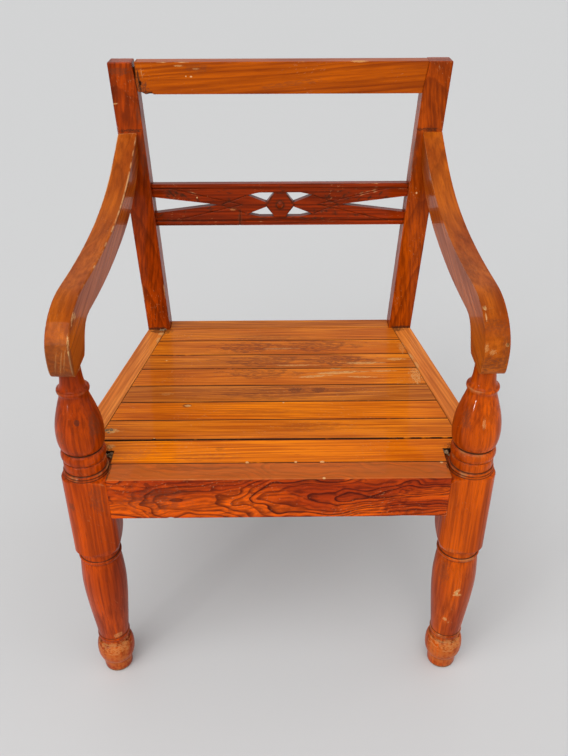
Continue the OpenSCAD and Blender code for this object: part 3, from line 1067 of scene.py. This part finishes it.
    def _note_wear_and_shade(self, piece: bpy.types.Object, seam_depth: float | None, spread: bool) -> None:
        """Notes on the mesh where hands rub it, and where dirt stays and shade is painted.

        Args:
            piece: The piece.
            seam_depth: How far below its top the dark of its seams starts, dirt and painted shade in
                the gaps, or None for none.
            spread: Whether the dirt and painted shade also reach the vertices beside a hollow.
        """
        bm = bmesh.new()
        bm.from_mesh(piece.data)
        rubbed = bm.verts.layers.float.new(RUBBED)
        hollow = bm.verts.layers.float.new(HOLLOW)
        top = max(vert.co.z for vert in bm.verts)
        for vert in bm.verts:
            bend = self._bend(vert)
            vert[rubbed] = self.sense.rubbed(bend)
            vert[hollow] = self.sense.hollow(bend)
            # Sides of a piece below its top are fully dark: painted shade in the seams between slats,
            # with their dirt.
            if seam_depth is not None and vert.co.z < top - seam_depth:
                vert[rubbed], vert[hollow] = 0.0, 1.0
        # Spreads the dark of hollows to the vertices beside them: painted shade round the splat's
        # carving, with its dirt.
        if spread:
            deepest = {
                vert: max(edge.other_vert(vert)[hollow] for edge in vert.link_edges)
                for vert in bm.verts
            }
            for vert, near in deepest.items():
                vert[hollow] = max(vert[hollow], self.sense.beside_hollow * near)
        bm.to_mesh(piece.data)
        bm.free()

    @staticmethod
    def _bend(vert: bmesh.types.BMVert) -> float:
        """Measures how far the surface bends at a vertex.

        Args:
            vert: The vertex.

        Returns:
            The bend per metre, above zero where it is outward.
        """
        turned = 0.0
        for edge in vert.link_edges:
            if edge.is_manifold:
                turned += edge.calc_length() * edge.calc_face_angle_signed(0.0)
        area = sum(face.calc_area() / len(face.verts) for face in vert.link_faces)
        return turned / (4 * area) if area > 0 else 0.0


# ---- sub-assemblies ----


FOOT_WEAR = (
    Mark(MarkKind.FADED, (0.5, 0.2, 0.06), (40, 40, 42), 0.7, 0.6),
    Mark(MarkKind.SCUFF, (0.5, 0.1, 0.10), (36, 30, 11), 0.3, 1.5),
    Mark(MarkKind.SCUFF, (0.5, 0.2, 0.0), (30, 30, 7), 0.7),
    Mark(MarkKind.GRIME_AND_SHADE, (0.5, 0.3, 0.004), (30, 30, 4), 0.7),
)


@dataclass
class FrontLegs:
    """The two turned front legs."""

    shop: Workshop
    pith_off_centre: float = 30 * MM

    def build(self) -> None:
        """Makes both legs."""
        for side, node, finish, marks, cuts in (
            (-1, "front_leg_left", LEFT_LEG_TEAK, self._left_marks(), self._left_cuts()),
            (1, "front_leg_right", RIGHT_LEG_TEAK, self._right_marks(), self._right_cuts()),
        ):
            middle = spot(node, 0.5, 0.5, 0.5)
            pith = (0.7 * side, 20 * MM - middle.y, middle.x + side * self.pith_off_centre)
            plank = Plank(GrainAxis.UPRIGHT, pith)
            self.shop.make(node, "leg_wood", finish, plank, None, marks, cuts)

    @staticmethod
    def _left_marks() -> tuple[Mark, ...]:
        """Old glue and dirt at the seat, a knot, stains and a worn foot."""
        return (
            Mark(MarkKind.GRIME_AND_SHADE, (0.96, 0.93, 0.682), (13, 15, 7), 0.6, 1.0),
            Mark(MarkKind.KNOT, (0.586, 0.083, 0.842), (5, 5, 6), 0.9, 0.3),
            Mark(MarkKind.STAIN, (0.873, 0.268, 0.825), (9, 14, 26), 0.55),
            Mark(MarkKind.STAIN, (0.15, 0.1, 0.80), (12, 12, 16), 0.5),
            Mark(MarkKind.STAIN, (0.187, 0.043, 0.608), (6, 6, 9), 0.7),
            Mark(MarkKind.STAIN, (0.75, 0.0, 0.63), (12, 6, 34), 0.45),
            Mark(MarkKind.SCUFF, (0.678, 0.171, 0.148), (9, 9, 7), 0.5),
            *FOOT_WEAR,
        )

    @staticmethod
    def _left_cuts() -> tuple[Cut, ...]:
        """Nicks in the block and the foot."""
        return (
            Cut((0.03, 0.25, 0.695), (4, 5, 2.2)),
            Cut((0.62, 0.07, 0.0), (6, 4, 3), rough=0.3),
            Cut((0.2, 0.4, 0.1), (1.6, 4, 2.4)),
        )

    @staticmethod
    def _right_marks() -> tuple[Mark, ...]:
        """Pale knocks on the barrel, stains and dirt at the seat."""
        return (
            Mark(MarkKind.GRIME_AND_SHADE, (0.06, 0.93, 0.682), (13, 15, 7), 0.6, 1.0),
            Mark(MarkKind.SCUFF, (0.49, 0.004, 0.318), (4, 4, 9), 1.0, 0.9, (0, 0.5, 0)),
            Mark(MarkKind.SCUFF, (0.51, 0.004, 0.306), (9, 4, 3), 0.9, 0.9),
            Mark(MarkKind.SCUFF, (0.34, 0.108, 0.206), (4, 5, 5), 0.9, 0.9),
            Mark(MarkKind.SCUFF, (0.42, 0.05, 0.196), (3, 4, 4), 0.8, 0.9),
            Mark(MarkKind.SCUFF, (0.508, 0.056, 0.833), (3, 4, 10), 0.55, 0.9),
            Mark(MarkKind.STAIN, (0.2, 0.25, 0.83), (9, 14, 22), 0.5),
            Mark(MarkKind.STAIN, (0.2, 0.2, 0.37), (10, 14, 30), 0.45),
            *FOOT_WEAR,
        )

    @staticmethod
    def _right_cuts() -> tuple[Cut, ...]:
        """Nicks in the shoulder, the barrel and the foot."""
        return (
            Cut((0.16, 0.03, 0.69), (5, 3, 2)),
            Cut((0.492, 0.0, 0.312), (2.4, 1.2, 3.2)),
            Cut((0.3, 0.1, 0.0), (5, 5, 3), rough=0.3),
        )


@dataclass
class BackFrame:
    """The raked posts, the top rail that has come loose and the cracked splat."""

    shop: Workshop

    def build(self) -> None:
        """Makes the posts, the rail and the splat."""
        self._posts()
        self._rail()
        self._splat()

    def _posts(self) -> None:
        """Makes the two raked posts."""
        easing = Easing(2.0 * MM, shortest=20 * MM)
        left = (
            Mark(MarkKind.SCUFF, (0.108, 0.5, 0.929), (6, 4, 1.2), 0.8, 0.4, (0, -0.15, 0)),
            Mark(MarkKind.GRIME_AND_SHADE, (0.42, 0.45, 0.881), (26, 14, 3.4), 0.85, 0.9),
            Mark(MarkKind.STAIN, (0.253, 0.565, 0.985), (22, 16, 7), 0.6),
            Mark(MarkKind.BARE, (0.70, 0.55, 0.975), (2.2, 14, 13), 0.75, 0.9),
            # These two darken the inner side of the post: painted shade.
            Mark(MarkKind.STAIN, (0.62, 0.48, 0.91), (5, 14, 16), 0.7),
            Mark(MarkKind.STAIN, (0.66, 0.42, 0.83), (7, 16, 46), 0.6, 0.7),
            Mark(MarkKind.GRIME_AND_SHADE, (0.66, 0.0, 0.481), (22, 9, 4), 0.95),
            Mark(MarkKind.GRIME_AND_SHADE, (0.85, 0.2, 0.481), (9, 22, 4), 0.95),
        )
        right = (
            Mark(MarkKind.BARE, (0.451, 0.314, 0.762), (1.8, 4, 2.2), 0.9, 0.2),
            Mark(MarkKind.SCUFF, (0.2, 0.54, 0.965), (1.6, 8, 20), 0.55, 0.9, (0, -0.16, 0)),
            Mark(MarkKind.GRIME_AND_SHADE, (0.58, 0.45, 0.881), (26, 14, 3.4), 0.85, 0.9),
            # Darkens the inner side of the post: painted shade.
            Mark(MarkKind.STAIN, (0.34, 0.42, 0.83), (7, 16, 46), 0.6, 0.7),
            Mark(MarkKind.GRIME_AND_SHADE, (0.34, 0.0, 0.481), (22, 9, 4), 0.95),
            Mark(MarkKind.GRIME_AND_SHADE, (0.15, 0.2, 0.481), (9, 22, 4), 0.95),
        )
        for side, node, marks, golden in (
            (-1, "rear_post_left", left, 0.0),
            (1, "rear_post_right", right, 0.35),
        ):
            pith, lean = (side * 2.3, 0.06, side * 0.33), (0.0, side * 0.09, 0.0)
            plank = Plank(GrainAxis.UPRIGHT, pith, lean)
            finish = POST_TEAK.towards(TOP_TEAK, golden)
            self.shop.make(node, "post_wood", finish, plank, easing, marks)

    def _rail(self) -> None:
        """Makes the top rail, with its open, chipped left-hand joint."""
        marks = (
            # Near black over the rail's left end inside the open joint: painted shade in the gap.
            Mark(MarkKind.GRIME_AND_SHADE, (0.012, 0.5, 0.5), (27, 40, 60), 1.0, 0.1),
            Mark(MarkKind.SCUFF, (0.066, 0.0, 0.7), (1.6, 8, 13), 0.5, 0.9, (0, -0.1, 0)),
            Mark(MarkKind.STAIN, (0.062, 0.02, 0.2), (14, 10, 12), 0.8, 0.9),
            Mark(MarkKind.GRIME_AND_SHADE, (0.057, 0.02, 0.4), (2.6, 12, 24), 0.95, 0.5, (0, -0.1, 0)),
            Mark(MarkKind.GRIME_AND_SHADE, (0.075, 0.1, 0.03), (20, 12, 4.5), 0.95, 0.8),
            Mark(MarkKind.BARE, (0.220, 0.088, 0.551), (2.4, 3, 1.4), 1.0, 0.3),
            Mark(MarkKind.BARE, (0.204, 0.089, 0.562), (1.4, 3, 1.2), 0.9, 0.3),
            Mark(MarkKind.SCUFF, (0.182, 0.14, 0.883), (9, 6, 1.6), 0.7),
            Mark(MarkKind.SCUFF, (0.236, 0.14, 0.79), (7, 6, 1.6), 0.6),
            Mark(MarkKind.STAIN, (0.24, 0.1, 0.8), (26, 8, 8), 0.35),
            Mark(MarkKind.STAIN, (0.52, 0.1, 0.3), (60, 8, 6), 0.4, 0.8, (0, -0.12, 0)),
            Mark(MarkKind.SCUFF, (0.745, 0.18, 1.0), (16, 8, 2), 0.8),
        )
        cuts = (
            Cut((0.745, 0.02, 1.0), (9, 3, 1.8)),
            Cut((0.060, 0.02, 0.36), (2.0, 4, 3.4), face=CutFace.DIRTY),
            Cut((0.0635, 0.02, 0.98), (2.6, 4, 2.2)),
            Cut((0.088, 0.05, 0.01), (7, 6, 2.6), face=CutFace.DIRTY),
        )
        plank = Plank(GrainAxis.ACROSS, (0.0, -0.2, -0.85), (0.02, 0.07, 0.0))
        easing = Easing(1.3 * MM, shortest=9 * MM)
        self.shop.make("top_rail", "rail_wood", TOP_TEAK, plank, easing, marks, cuts)

    def _splat(self) -> None:
        """Makes the carved splat, cracked through its lower bar."""
        marks = (
            Mark(MarkKind.BARE, (0.202, 0.265, 0.687), (1.6, 3, 1.8), 0.9, 0.2),
            Mark(MarkKind.BARE, (0.24, 0.2, 0.72), (1.2, 3, 1.0), 0.7, 0.2),
            Mark(MarkKind.STAIN, (0.354, 0.2, 0.2), (5, 12, 16), 0.6),
            Mark(MarkKind.SCUFF, (0.33, 0.2, 0.40), (7, 6, 2), 0.4),
        )
        marks += self._diamond_dirt_and_shade()
        cuts = (
            Cut((0.3545, 0.08, 0.2), (0.5, 6, 17), (0, 0.05, 0), 0.12, CutFace.DIRTY),
            Cut((0.3535, 0.02, 0.02), (1.6, 3, 2), face=CutFace.DIRTY),
        )
        plank = Plank(GrainAxis.ACROSS, (1.0, -0.15, -0.6))
        self.shop.make(
            "back_splat", "post_wood", SPLAT_TEAK, plank, None, marks, cuts, fine=4 * MM
        )

    @staticmethod
    def _diamond_dirt_and_shade() -> tuple[Mark, ...]:
        """Lays dark strips along the edges of the carved diamond in the middle of the splat: dirt and
        painted shade in its carved outline.

        Returns:
            The marks, four on its slanted edges and two on its flat ones.
        """
        low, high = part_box("back_splat")
        width, height = high[0] - low[0], high[2] - low[2]

        def edge(across: float, up: float, half: float, slope: float) -> Mark:
            """Returns the dark strip, dirt and painted shade, along one edge, from its middle, half
            length and slope.
            """
            share = (0.5 + across * MM / width, 0.3, 0.5 + up * MM / height)
            return Mark(MarkKind.GRIME_AND_SHADE, share, (half, 12, 1.1), 0.85, 0.5, (0.0, slope, 0.0))

        slanted = [
            edge(16.5 * side, 10.5 * top, 12.6, side * top * math.atan2(21, 14))
            for side in (-1, 1)
            for top in (-1, 1)
        ]
        return (*slanted, edge(0, 21, 9.5, 0.0), edge(0, -21, 9.5, 0.0))


@dataclass
class Arms:
    """The two swept arms, worn pale along their inner edges."""

    shop: Workshop
    easing: Easing = Easing(2.2 * MM, shortest=3 * MM)

    def build(self) -> None:
        """Makes both arms."""
        left_marks = (
            Mark(MarkKind.BARE, (0.50, 0.012, 0.30), (1.5, 7, 22), 0.85, 0.9),
            Mark(MarkKind.BARE, (0.56, 0.06, 0.40), (1.5, 20, 9), 0.6, 0.9),
            Mark(MarkKind.STAIN, (0.28, 0.0, 0.15), (40, 12, 60), 0.65, 0.2),
            Mark(MarkKind.SCUFF, (0.30, 0.0, 0.12), (1.2, 5, 30), 0.28, 0.9, (0, 0.2, 0)),
            Mark(MarkKind.SCUFF, (0.40, 0.0, 0.17), (1.2, 5, 32), 0.25, 0.9, (0, 0.2, 0)),
            Mark(MarkKind.SCUFF, (0.20, 0.0, 0.14), (1.2, 5, 26), 0.22, 0.9, (0, 0.2, 0)),
            Mark(MarkKind.GRIME_AND_SHADE, (0.8, 1.0, 0.95), (40, 6, 40), 0.5),
            Mark(MarkKind.SCUFF, (0.78, 0.93, 0.97), (3, 3, 3), 0.9, 0.2),
        )
        left_cuts = (
            Cut((0.5, 0.01, 0.29), (1.3, 2.4, 7)),
            Cut((0.505, 0.0, 0.22), (1.2, 1.8, 4)),
            Cut((0.55, 0.035, 0.37), (1.0, 4, 2)),
        )
        right_marks = (
            Mark(MarkKind.BARE, (0.388, 0.079, 0.435), (1.8, 6, 3), 0.9, 0.9),
            Mark(MarkKind.BARE, (0.378, 0.055, 0.40), (1.2, 6, 16), 0.7, 0.9),
            Mark(MarkKind.STAIN, (0.55, 0.0, 0.1), (34, 9, 15), 0.55, 0.9),
            Mark(MarkKind.STAIN, (0.9, 0.01, 0.26), (7, 9, 34), 0.5, 0.9),
            Mark(MarkKind.STAIN, (0.6, 0.04, 0.36), (26, 14, 9), 0.35, 0.9),
            Mark(MarkKind.SCUFF, (0.36, 0.003, 0.235), (3, 5, 6), 0.6, 1.2),
            Mark(MarkKind.SCUFF, (0.53, 0.002, 0.205), (5, 5, 4), 0.55, 1.3),
            Mark(MarkKind.SCUFF, (0.88, 0.0, 0.26), (2, 5, 5), 0.6, 0.9),
            Mark(MarkKind.STAIN, (0.30, 0.3, 0.5), (16, 60, 24), 0.3),
            Mark(MarkKind.GRIME_AND_SHADE, (0.2, 1.0, 0.95), (40, 6, 40), 0.5),
        )
        right_cuts = (
            Cut((0.372, 0.078, 0.434), (1.8, 5, 1.6)),
            Cut((0.93, 0.01, 0.25), (2.0, 3, 3)),
        )
        self._arm(-1, "arm_left", left_marks, left_cuts)
        self._arm(1, "arm_right", right_marks, right_cuts)

    def _arm(self, side: int, node: str, marks: tuple[Mark, ...], cuts: tuple[Cut, ...]) -> None:
        """Makes one arm.

        Args:
            side: -1 for the left and 1 for the right.
            node: Name of its node.
            marks: The marks on it.
            cuts: The chips in it.
        """
        low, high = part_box(node)
        slope = math.atan2(high[2] - low[2], high[1] - low[1])
        sweep = math.atan2(high[0] - low[0], high[1] - low[1])
        lean = (-0.8 * slope, 0.0, -0.4 * side * sweep)
        plank = Plank(GrainAxis.DEEP, (side * 1.3, side * 0.4, -0.35), lean)
        self.shop.make(node, "arm_wood", ARM_TEAK, plank, self.easing, marks, cuts)


@dataclass
class SeatFrame:
    """The four rails of the seat, with the ledgers and the bearer that carry the slats."""

    shop: Workshop
    easing: Easing = Easing(1.2 * MM, shortest=20 * MM)

    def build(self) -> None:
        """Makes the rails and the hidden strips."""
        self._front()
        self._sides()
        plank = Plank(GrainAxis.ACROSS, (3.0, 0.05, -0.3))
        self.shop.make("rear_rail", "rail_wood", RED_TEAK, plank, self.easing)
        for node in ("ledger_left", "ledger_right", "centre_bearer"):
            plank = Plank(GrainAxis.DEEP, (0.0, 0.1, -0.3))
            self.shop.make(node, "rail_wood", HIDDEN_TEAK, plank, Easing(0.8 * MM, 2, 20 * MM))

    def _front(self) -> None:
        """Makes the figured front rail."""
        marks = (
            Mark(MarkKind.FADED, (0.5, 0.6, 1.0), (900, 40, 2.6), 0.75, 0.15),
            Mark(MarkKind.STAIN, (0.271, 0.683, 1.0), (90, 5, 6), 0.45, 0.8),
            Mark(MarkKind.STAIN, (0.62, 0.75, 1.0), (60, 4, 6), 0.3, 0.8),
            Mark(MarkKind.STAIN, (0.16, 0.0, 0.5), (60, 6, 26), 0.4, 1.0),
            Mark(MarkKind.GRIME_AND_SHADE, (0.04, 0.6, 1.0), (3.5, 30, 6), 0.9),
            Mark(MarkKind.GRIME_AND_SHADE, (0.965, 0.75, 1.0), (7, 16, 6), 0.95, 0.8),
            Mark(MarkKind.BARE, (0.945, 0.95, 1.0), (3, 3, 3), 0.9, 0.5),
            Mark(MarkKind.BARE, (0.62, 0.02, 1.0), (2.5, 2.5, 2), 0.9, 0.3),
        )
        cuts = (
            Cut((0.90, 0.05, -0.045), (75, 14, 5), (0, 0.02, 0), 0.1),
            Cut((0.62, 0.0, 1.0), (2.4, 1.4, 1.2)),
            Cut((0.2, 0.0, 0.0), (7, 3, 2)),
        )
        plank = Plank(GrainAxis.ACROSS, (0.2, 0.2255, -0.39), (0.0, 0.05, 0.16))
        easing = Easing(1.4 * MM, shortest=20 * MM)
        self.shop.make("front_rail", "rail_wood", FRONT_TEAK, plank, easing, marks, cuts)

    def _sides(self) -> None:
        """Makes the side rails, scuffed where the slats meet them."""
        left = (
            Mark(MarkKind.SCUFF, (0.944, 0.925, 1.0), (9, 6, 4), 0.95),
            Mark(MarkKind.SCUFF, (0.915, 0.865, 1.0), (5, 12, 4), 0.8),
            Mark(MarkKind.GRIME_AND_SHADE, (0.9, 0.95, 1.0), (24, 9, 4), 0.75),
        )
        right = (
            Mark(MarkKind.SCUFF, (0.17, 0.70, 1.0), (6, 16, 4), 0.8, 0.9),
            Mark(MarkKind.SCUFF, (0.235, 0.632, 1.0), (6, 14, 4), 0.8, 0.9),
            Mark(MarkKind.GRIME_AND_SHADE, (0.03, 0.95, 1.0), (20, 9, 4), 0.75),
        )
        for side, node, marks in ((-1, "side_rail_left", left), (1, "side_rail_right", right)):
            plank = Plank(GrainAxis.DEEP, (side, side * 0.35, -0.3), (0.0, 0.0, side * -0.19))
            self.shop.make(node, "rail_wood", RAIL_TEAK, plank, self.easing, marks)


@dataclass
class SlattedSeat:
    """The eight slats, each from its own plank, and their screws."""

    shop: Workshop
    gold: tuple[float, ...] = (1.0, 0.62, 0.8, 0.0, 0.55, 0.3, 0.5, 0.35)
    easing: Easing = Easing(1.3 * MM, 2, 14 * MM)

    def build(self) -> None:
        """Makes the slats and the screws."""
        for number, share in enumerate(self.gold, start=1):
            slot = "slat_wood_gold" if number % 2 else "slat_wood_red"
            plank = Plank(
                GrainAxis.ACROSS,
                (1.7 * number, -0.07 * (1 + number % 3), -0.38 - 0.03 * (number % 2)),
                (0.0, 0.012 * (number % 3 - 1), 0.02 * (number % 4 - 1.5)),
            )
            finish = RED_TEAK.towards(GOLD_TEAK, share)
            node = f"slat_{number}"
            marks = self._marks().get(number, ())
            cuts = self._cuts().get(number, ())
            # The last argument sets where the painted shade and dirt of the seams between slats start.
            self.shop.make(node, slot, finish, plank, self.easing, marks, cuts, 0.2 * MM)
        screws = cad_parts["seat_screws"]
        screws.data.materials.clear()
        screws.data.materials.append(SteelFinish().paint("seat_screws"))

    @staticmethod
    def _marks() -> dict[int, tuple[Mark, ...]]:
        """Marks on the slats, by number: a sat-on, abraded middle and scuffed ends."""
        return {
            1: (
                Mark(MarkKind.BARE, (0.417, 0.03, 1.0), (2.4, 1.4, 2), 1.0, 0.7),
                Mark(MarkKind.BARE, (0.544, 0.03, 1.0), (2.4, 1.4, 2), 1.0, 0.7),
                Mark(MarkKind.BARE, (0.613, 0.03, 1.0), (3.6, 1.4, 2), 1.0, 0.7),
                Mark(MarkKind.KNOT, (0.342, 0.605, 1.0), (8, 5, 4), 0.35),
                Mark(MarkKind.GRIME_AND_SHADE, (0.035, 0.6, 1.0), (12, 16, 5), 0.7, 1.1),
                Mark(MarkKind.GRIME_AND_SHADE, (0.965, 0.6, 1.0), (11, 14, 5), 0.7, 1.1),
                Mark(MarkKind.SCUFF, (0.05, 0.75, 1.0), (7, 6, 4), 0.7, 0.9),
                Mark(MarkKind.FADED, (0.12, 0.4, 1.0), (40, 14, 4), 0.4, 1.1),
                Mark(MarkKind.STAIN, (0.3, 0.25, 1.0), (60, 10, 4), 0.25, 0.9),
            ),
            2: (
                Mark(MarkKind.SCUFF, (0.03, 0.45, 1.0), (13, 7, 4), 1.0, 0.8),
                Mark(MarkKind.STAIN, (0.6, 0.6, 1.0), (70, 14, 4), 0.25, 0.9),
                Mark(MarkKind.BARE, (0.155, 0.03, 1.0), (2, 2, 2), 0.9, 0.3),
            ),
            3: (
                Mark(MarkKind.STAIN, (0.22, 0.8, 1.0), (9, 6, 4), 0.8, 0.6),
                Mark(MarkKind.BARE, (0.514, 0.938, 1.0), (1.8, 1.8, 2), 1.0, 0.3),
                Mark(MarkKind.STAIN, (0.45, 0.4, 1.0), (80, 9, 4), 0.22, 0.9),
            ),
            4: (
                Mark(MarkKind.STAIN, (0.554, 0.683, 1.0), (17, 9, 4), 0.7, 0.9),
                Mark(MarkKind.STAIN, (0.63, 0.673, 1.0), (17, 9, 4), 0.7, 0.9),
                Mark(MarkKind.STAIN, (0.5, 0.5, 1.0), (130, 20, 4), 0.4, 1.5),
                Mark(MarkKind.SCUFF, (0.14, 0.5, 1.0), (12, 5, 4), 0.3, 1.2),
            ),
            5: (
                Mark(MarkKind.STAIN, (0.44, 0.7, 1.0), (75, 17, 4), 0.5, 1.5),
                Mark(MarkKind.SCUFF, (0.71, 0.72, 1.0), (52, 5, 4), 1.0, 1.1, (0, 0, 0.06)),
                Mark(MarkKind.SCUFF, (0.62, 0.5, 1.0), (34, 4, 4), 0.95, 1.1, (0, 0, 0.1)),
                Mark(MarkKind.SCUFF, (0.78, 0.45, 1.0), (30, 3, 4), 0.9, 1.1, (0, 0, -0.06)),
                Mark(MarkKind.SCUFF, (0.86, 0.8, 1.0), (26, 3, 4), 0.8, 1.1),
                Mark(MarkKind.SCUFF, (0.972, 0.5, 1.0), (12, 26, 4), 0.7, 1.3),
                Mark(MarkKind.STAIN, (0.15, 0.5, 1.0), (24, 12, 4), 0.2, 0.9),
            ),
            6: (
                Mark(MarkKind.SCUFF, (0.084, 0.609, 1.0), (2.2, 2.2, 2), 1.0, 0.2),
                Mark(MarkKind.STAIN, (0.73, 0.5, 1.0), (60, 18, 4), 0.6, 1.5),
                Mark(MarkKind.STAIN, (0.45, 0.5, 1.0), (95, 20, 4), 0.5, 1.5),
                Mark(MarkKind.SCUFF, (0.81, 0.34, 1.0), (40, 4, 4), 0.95, 1.1),
                Mark(MarkKind.SCUFF, (0.56, 0.2, 1.0), (44, 3, 4), 0.7, 1.1),
                Mark(MarkKind.SCUFF, (0.93, 0.6, 1.0), (20, 5, 4), 0.8, 1.0),
            ),
            7: (
                Mark(MarkKind.STAIN, (0.38, 0.5, 1.0), (70, 20, 4), 0.55, 1.5),
                Mark(MarkKind.STAIN, (0.66, 0.55, 1.0), (80, 20, 4), 0.55, 1.5),
                Mark(MarkKind.SCUFF, (0.5, 0.4, 1.0), (40, 3, 4), 0.55, 1.1),
                Mark(MarkKind.SCUFF, (0.98, 0.4, 1.0), (7, 20, 4), 0.4, 1.3),
            ),
            8: (
                Mark(MarkKind.STAIN, (0.45, 0.2, 1.0), (80, 12, 4), 0.3, 0.9),
                Mark(MarkKind.GRIME_AND_SHADE, (0.02, 0.8, 1.0), (14, 14, 4), 0.6, 0.8),
            ),
        }

    @staticmethod
    def _cuts() -> dict[int, tuple[Cut, ...]]:
        """Chips in the slats, by number."""
        return {
            1: (
                Cut((0.417, 0.0, 1.0), (3, 1.6, 1.3)),
                Cut((0.544, 0.0, 1.0), (2.4, 1.4, 1.2)),
                Cut((0.613, 0.0, 1.0), (4, 1.4, 1.2)),
            ),
            2: (Cut((0.155, 0.0, 1.0), (4, 1.8, 1.6), face=CutFace.DIRTY),),
            3: (
                Cut((0.223, 0.787, 1.0), (5, 2.6, 1.4)),
                Cut((0.514, 1.0, 1.0), (2.6, 1.4, 1.2)),
            ),
            5: (Cut((0.7, 0.97, 1.0), (9, 1.8, 1.0)),),
        }


@dataclass
class SeatDirt:
    """Crumbs of old glue and dirt packed into the corners of the seat."""

    shop: Workshop
    corners: tuple[tuple[str, Triple], ...] = (
        ("front_leg_left", (0.92, 0.93, 0.682)),
        ("front_leg_left", (0.97, 0.99, 0.682)),
        ("front_leg_right", (0.08, 0.93, 0.682)),
        ("front_leg_right", (0.03, 0.99, 0.682)),
        ("side_rail_left", (0.94, 0.96, 1.0)),
        ("slat_2", (0.02, 0.5, 1.0)),
    )
    crumbs: int = 14
    spread: float = 6 * MM
    smallest: float = 0.7
    largest: float = 2.4
    flattened: Triple = (1.5, 1.0, 0.6)

    def build(self) -> None:
        """Makes the crumbs as one piece."""
        dice = random.Random(8)
        bm = bmesh.new()
        for node, share in self.corners:
            middle = spot(node, *share)
            for _ in range(self.crumbs):
                across, deep = dice.gauss(0, 0.5), dice.gauss(0, 0.5)
                away = Vector([across * self.spread, deep * self.spread, 0])
                size = dice.uniform(self.smallest, self.largest) * MM
                made = bmesh.ops.create_icosphere(bm, subdivisions=2, radius=1.0)["verts"]
                for vert in made:
                    vert.co *= dice.uniform(0.75, 1.15)
                turn = Euler((dice.uniform(0, 6), dice.uniform(0, 6), dice.uniform(0, 6)))
                flat = Vector([size * share for share in self.flattened])
                place = Matrix.LocRotScale(middle + away, turn, flat)
                bmesh.ops.transform(bm, matrix=place, verts=made)
        mesh = finished_mesh(bm, "seat_dirt")
        piece = put_in_scene("seat_dirt", mesh)
        plank = Plank(GrainAxis.ACROSS, (0.0, 0.0, 0.0))
        mesh.materials.append(CRUMB_TEAK.paint("seat_dirt", self.shop.effects, plank))
        mesh.shade_smooth()
        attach(piece, BODY)
        self.shop.pieces.append(piece)


# ---- studio ----


@dataclass
class Studio:
    """The floor, the lamps, the sky and the camera."""

    camera_place: Triple = (-0.0011, -1.1131, 1.1244)
    pitch: float = 0.5613
    yaw: float = -0.0098
    roll: float = -0.0021
    focal_length: float = 37.62
    floor_radius: float = 30.0
    floor_colour: Colour = (0.58, 0.58, 0.58)
    floor_roughness: float = 0.9
    floor_specular: float = 0.2
    floor_sides: int = 96
    sky_colour: Colour = (0.98, 0.99, 1.0)
    sky_strength: float = 0.55
    window_place: Triple = (-1.5, -1.85, 0.55)
    window_aim: Triple = (0, 0, 0.5)
    window_size: tuple[float, float] = (0.14, 0.1)
    window_watts: float = 7
    sensor: float = 36

    def build(self) -> None:
        """Sets up the whole studio."""
        self._camera()
        self._floor()
        self._lamps()
        self._sky()
        bpy.context.scene.view_settings.view_transform = "Standard"

    def _camera(self) -> None:
        """Stands the camera in front of and above the chair."""
        data = bpy.data.cameras.new("camera")
        data.lens = self.focal_length
        data.sensor_width = self.sensor
        data.sensor_fit = "AUTO"
        camera = put_in_scene("camera", data)
        camera.matrix_world = (
            Matrix.Translation(self.camera_place)
            @ Matrix.Rotation(self.yaw, 4, "Z")
            @ Matrix.Rotation(math.pi / 2 - self.pitch, 4, "X")
            @ Matrix.Rotation(self.roll, 4, "Z")
        )
        bpy.context.scene.camera = camera

    def _floor(self) -> None:
        """Lays a wide round floor under the feet."""
        bm = bmesh.new()
        bmesh.ops.create_circle(bm, cap_ends=True, segments=self.floor_sides, radius=self.floor_radius)
        mesh = finished_mesh(bm, "floor")
        floor = put_in_scene("floor", mesh)
        material = bpy.data.materials.new("floor_paint")
        material.use_nodes = True
        shader = material.node_tree.nodes["Principled BSDF"]
        shader.inputs["Base Color"].default_value = rgba(self.floor_colour)
        shader.inputs["Roughness"].default_value = self.floor_roughness
        shader.inputs["Specular IOR Level"].default_value = self.floor_specular
        mesh.materials.append(material)

    def _lamps(self) -> None:
        """Hangs a broad key overhead, a soft fill and a small lamp that lights the varnish."""
        self._sun("key", strength=2.0, spread=60, turn=(40, 0, -26))
        self._sun("fill", strength=0.6, spread=80, turn=(62, 0, 72))
        data = bpy.data.lights.new("window", "AREA")
        data.shape = "RECTANGLE"
        data.size, data.size_y = self.window_size
        data.energy = self.window_watts
        lamp = put_in_scene("window", data)
        place = Vector(self.window_place)
        turn = (Vector(self.window_aim) - place).to_track_quat("-Z", "Y")
        lamp.matrix_world = Matrix.Translation(place) @ turn.to_matrix().to_4x4()

    @staticmethod
    def _sun(name: str, strength: float, spread: float, turn: Triple) -> None:
        """Adds a broad, distant lamp.

        Args:
            name: Name of the lamp.
            strength: How strong it is.
            spread: How wide it looks, in degrees.
            turn: Which way it points, in degrees.
        """
        data = bpy.data.lights.new(name, "SUN")
        data.energy = strength
        data.angle = math.radians(spread)
        lamp = put_in_scene(name, data)
        lamp.rotation_euler = [math.radians(angle) for angle in turn]

    def _sky(self) -> None:
        """Fills the room with plain pale light."""
        world = bpy.data.worlds.new("room")
        world.use_nodes = True
        sky = world.node_tree.nodes["Background"]
        sky.inputs["Color"].default_value = rgba(self.sky_colour)
        sky.inputs["Strength"].default_value = self.sky_strength
        bpy.context.scene.world = world


def main() -> None:
    """Builds the chair and the studio, piece by piece."""
    logging.basicConfig(level=logging.INFO, format="%(message)s")
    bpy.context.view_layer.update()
    shop = Workshop(SharedEffects())
    for assembly in (FrontLegs, BackFrame, Arms, SeatFrame, SlattedSeat, SeatDirt):
        assembly(shop).build()
        log.info("built %s", assembly.__name__)
    for piece in shop.pieces:
        log.info("piece %s: %d faces", piece.name, len(piece.data.polygons))
    Studio().build()


if __name__ == "__main__":
    main()
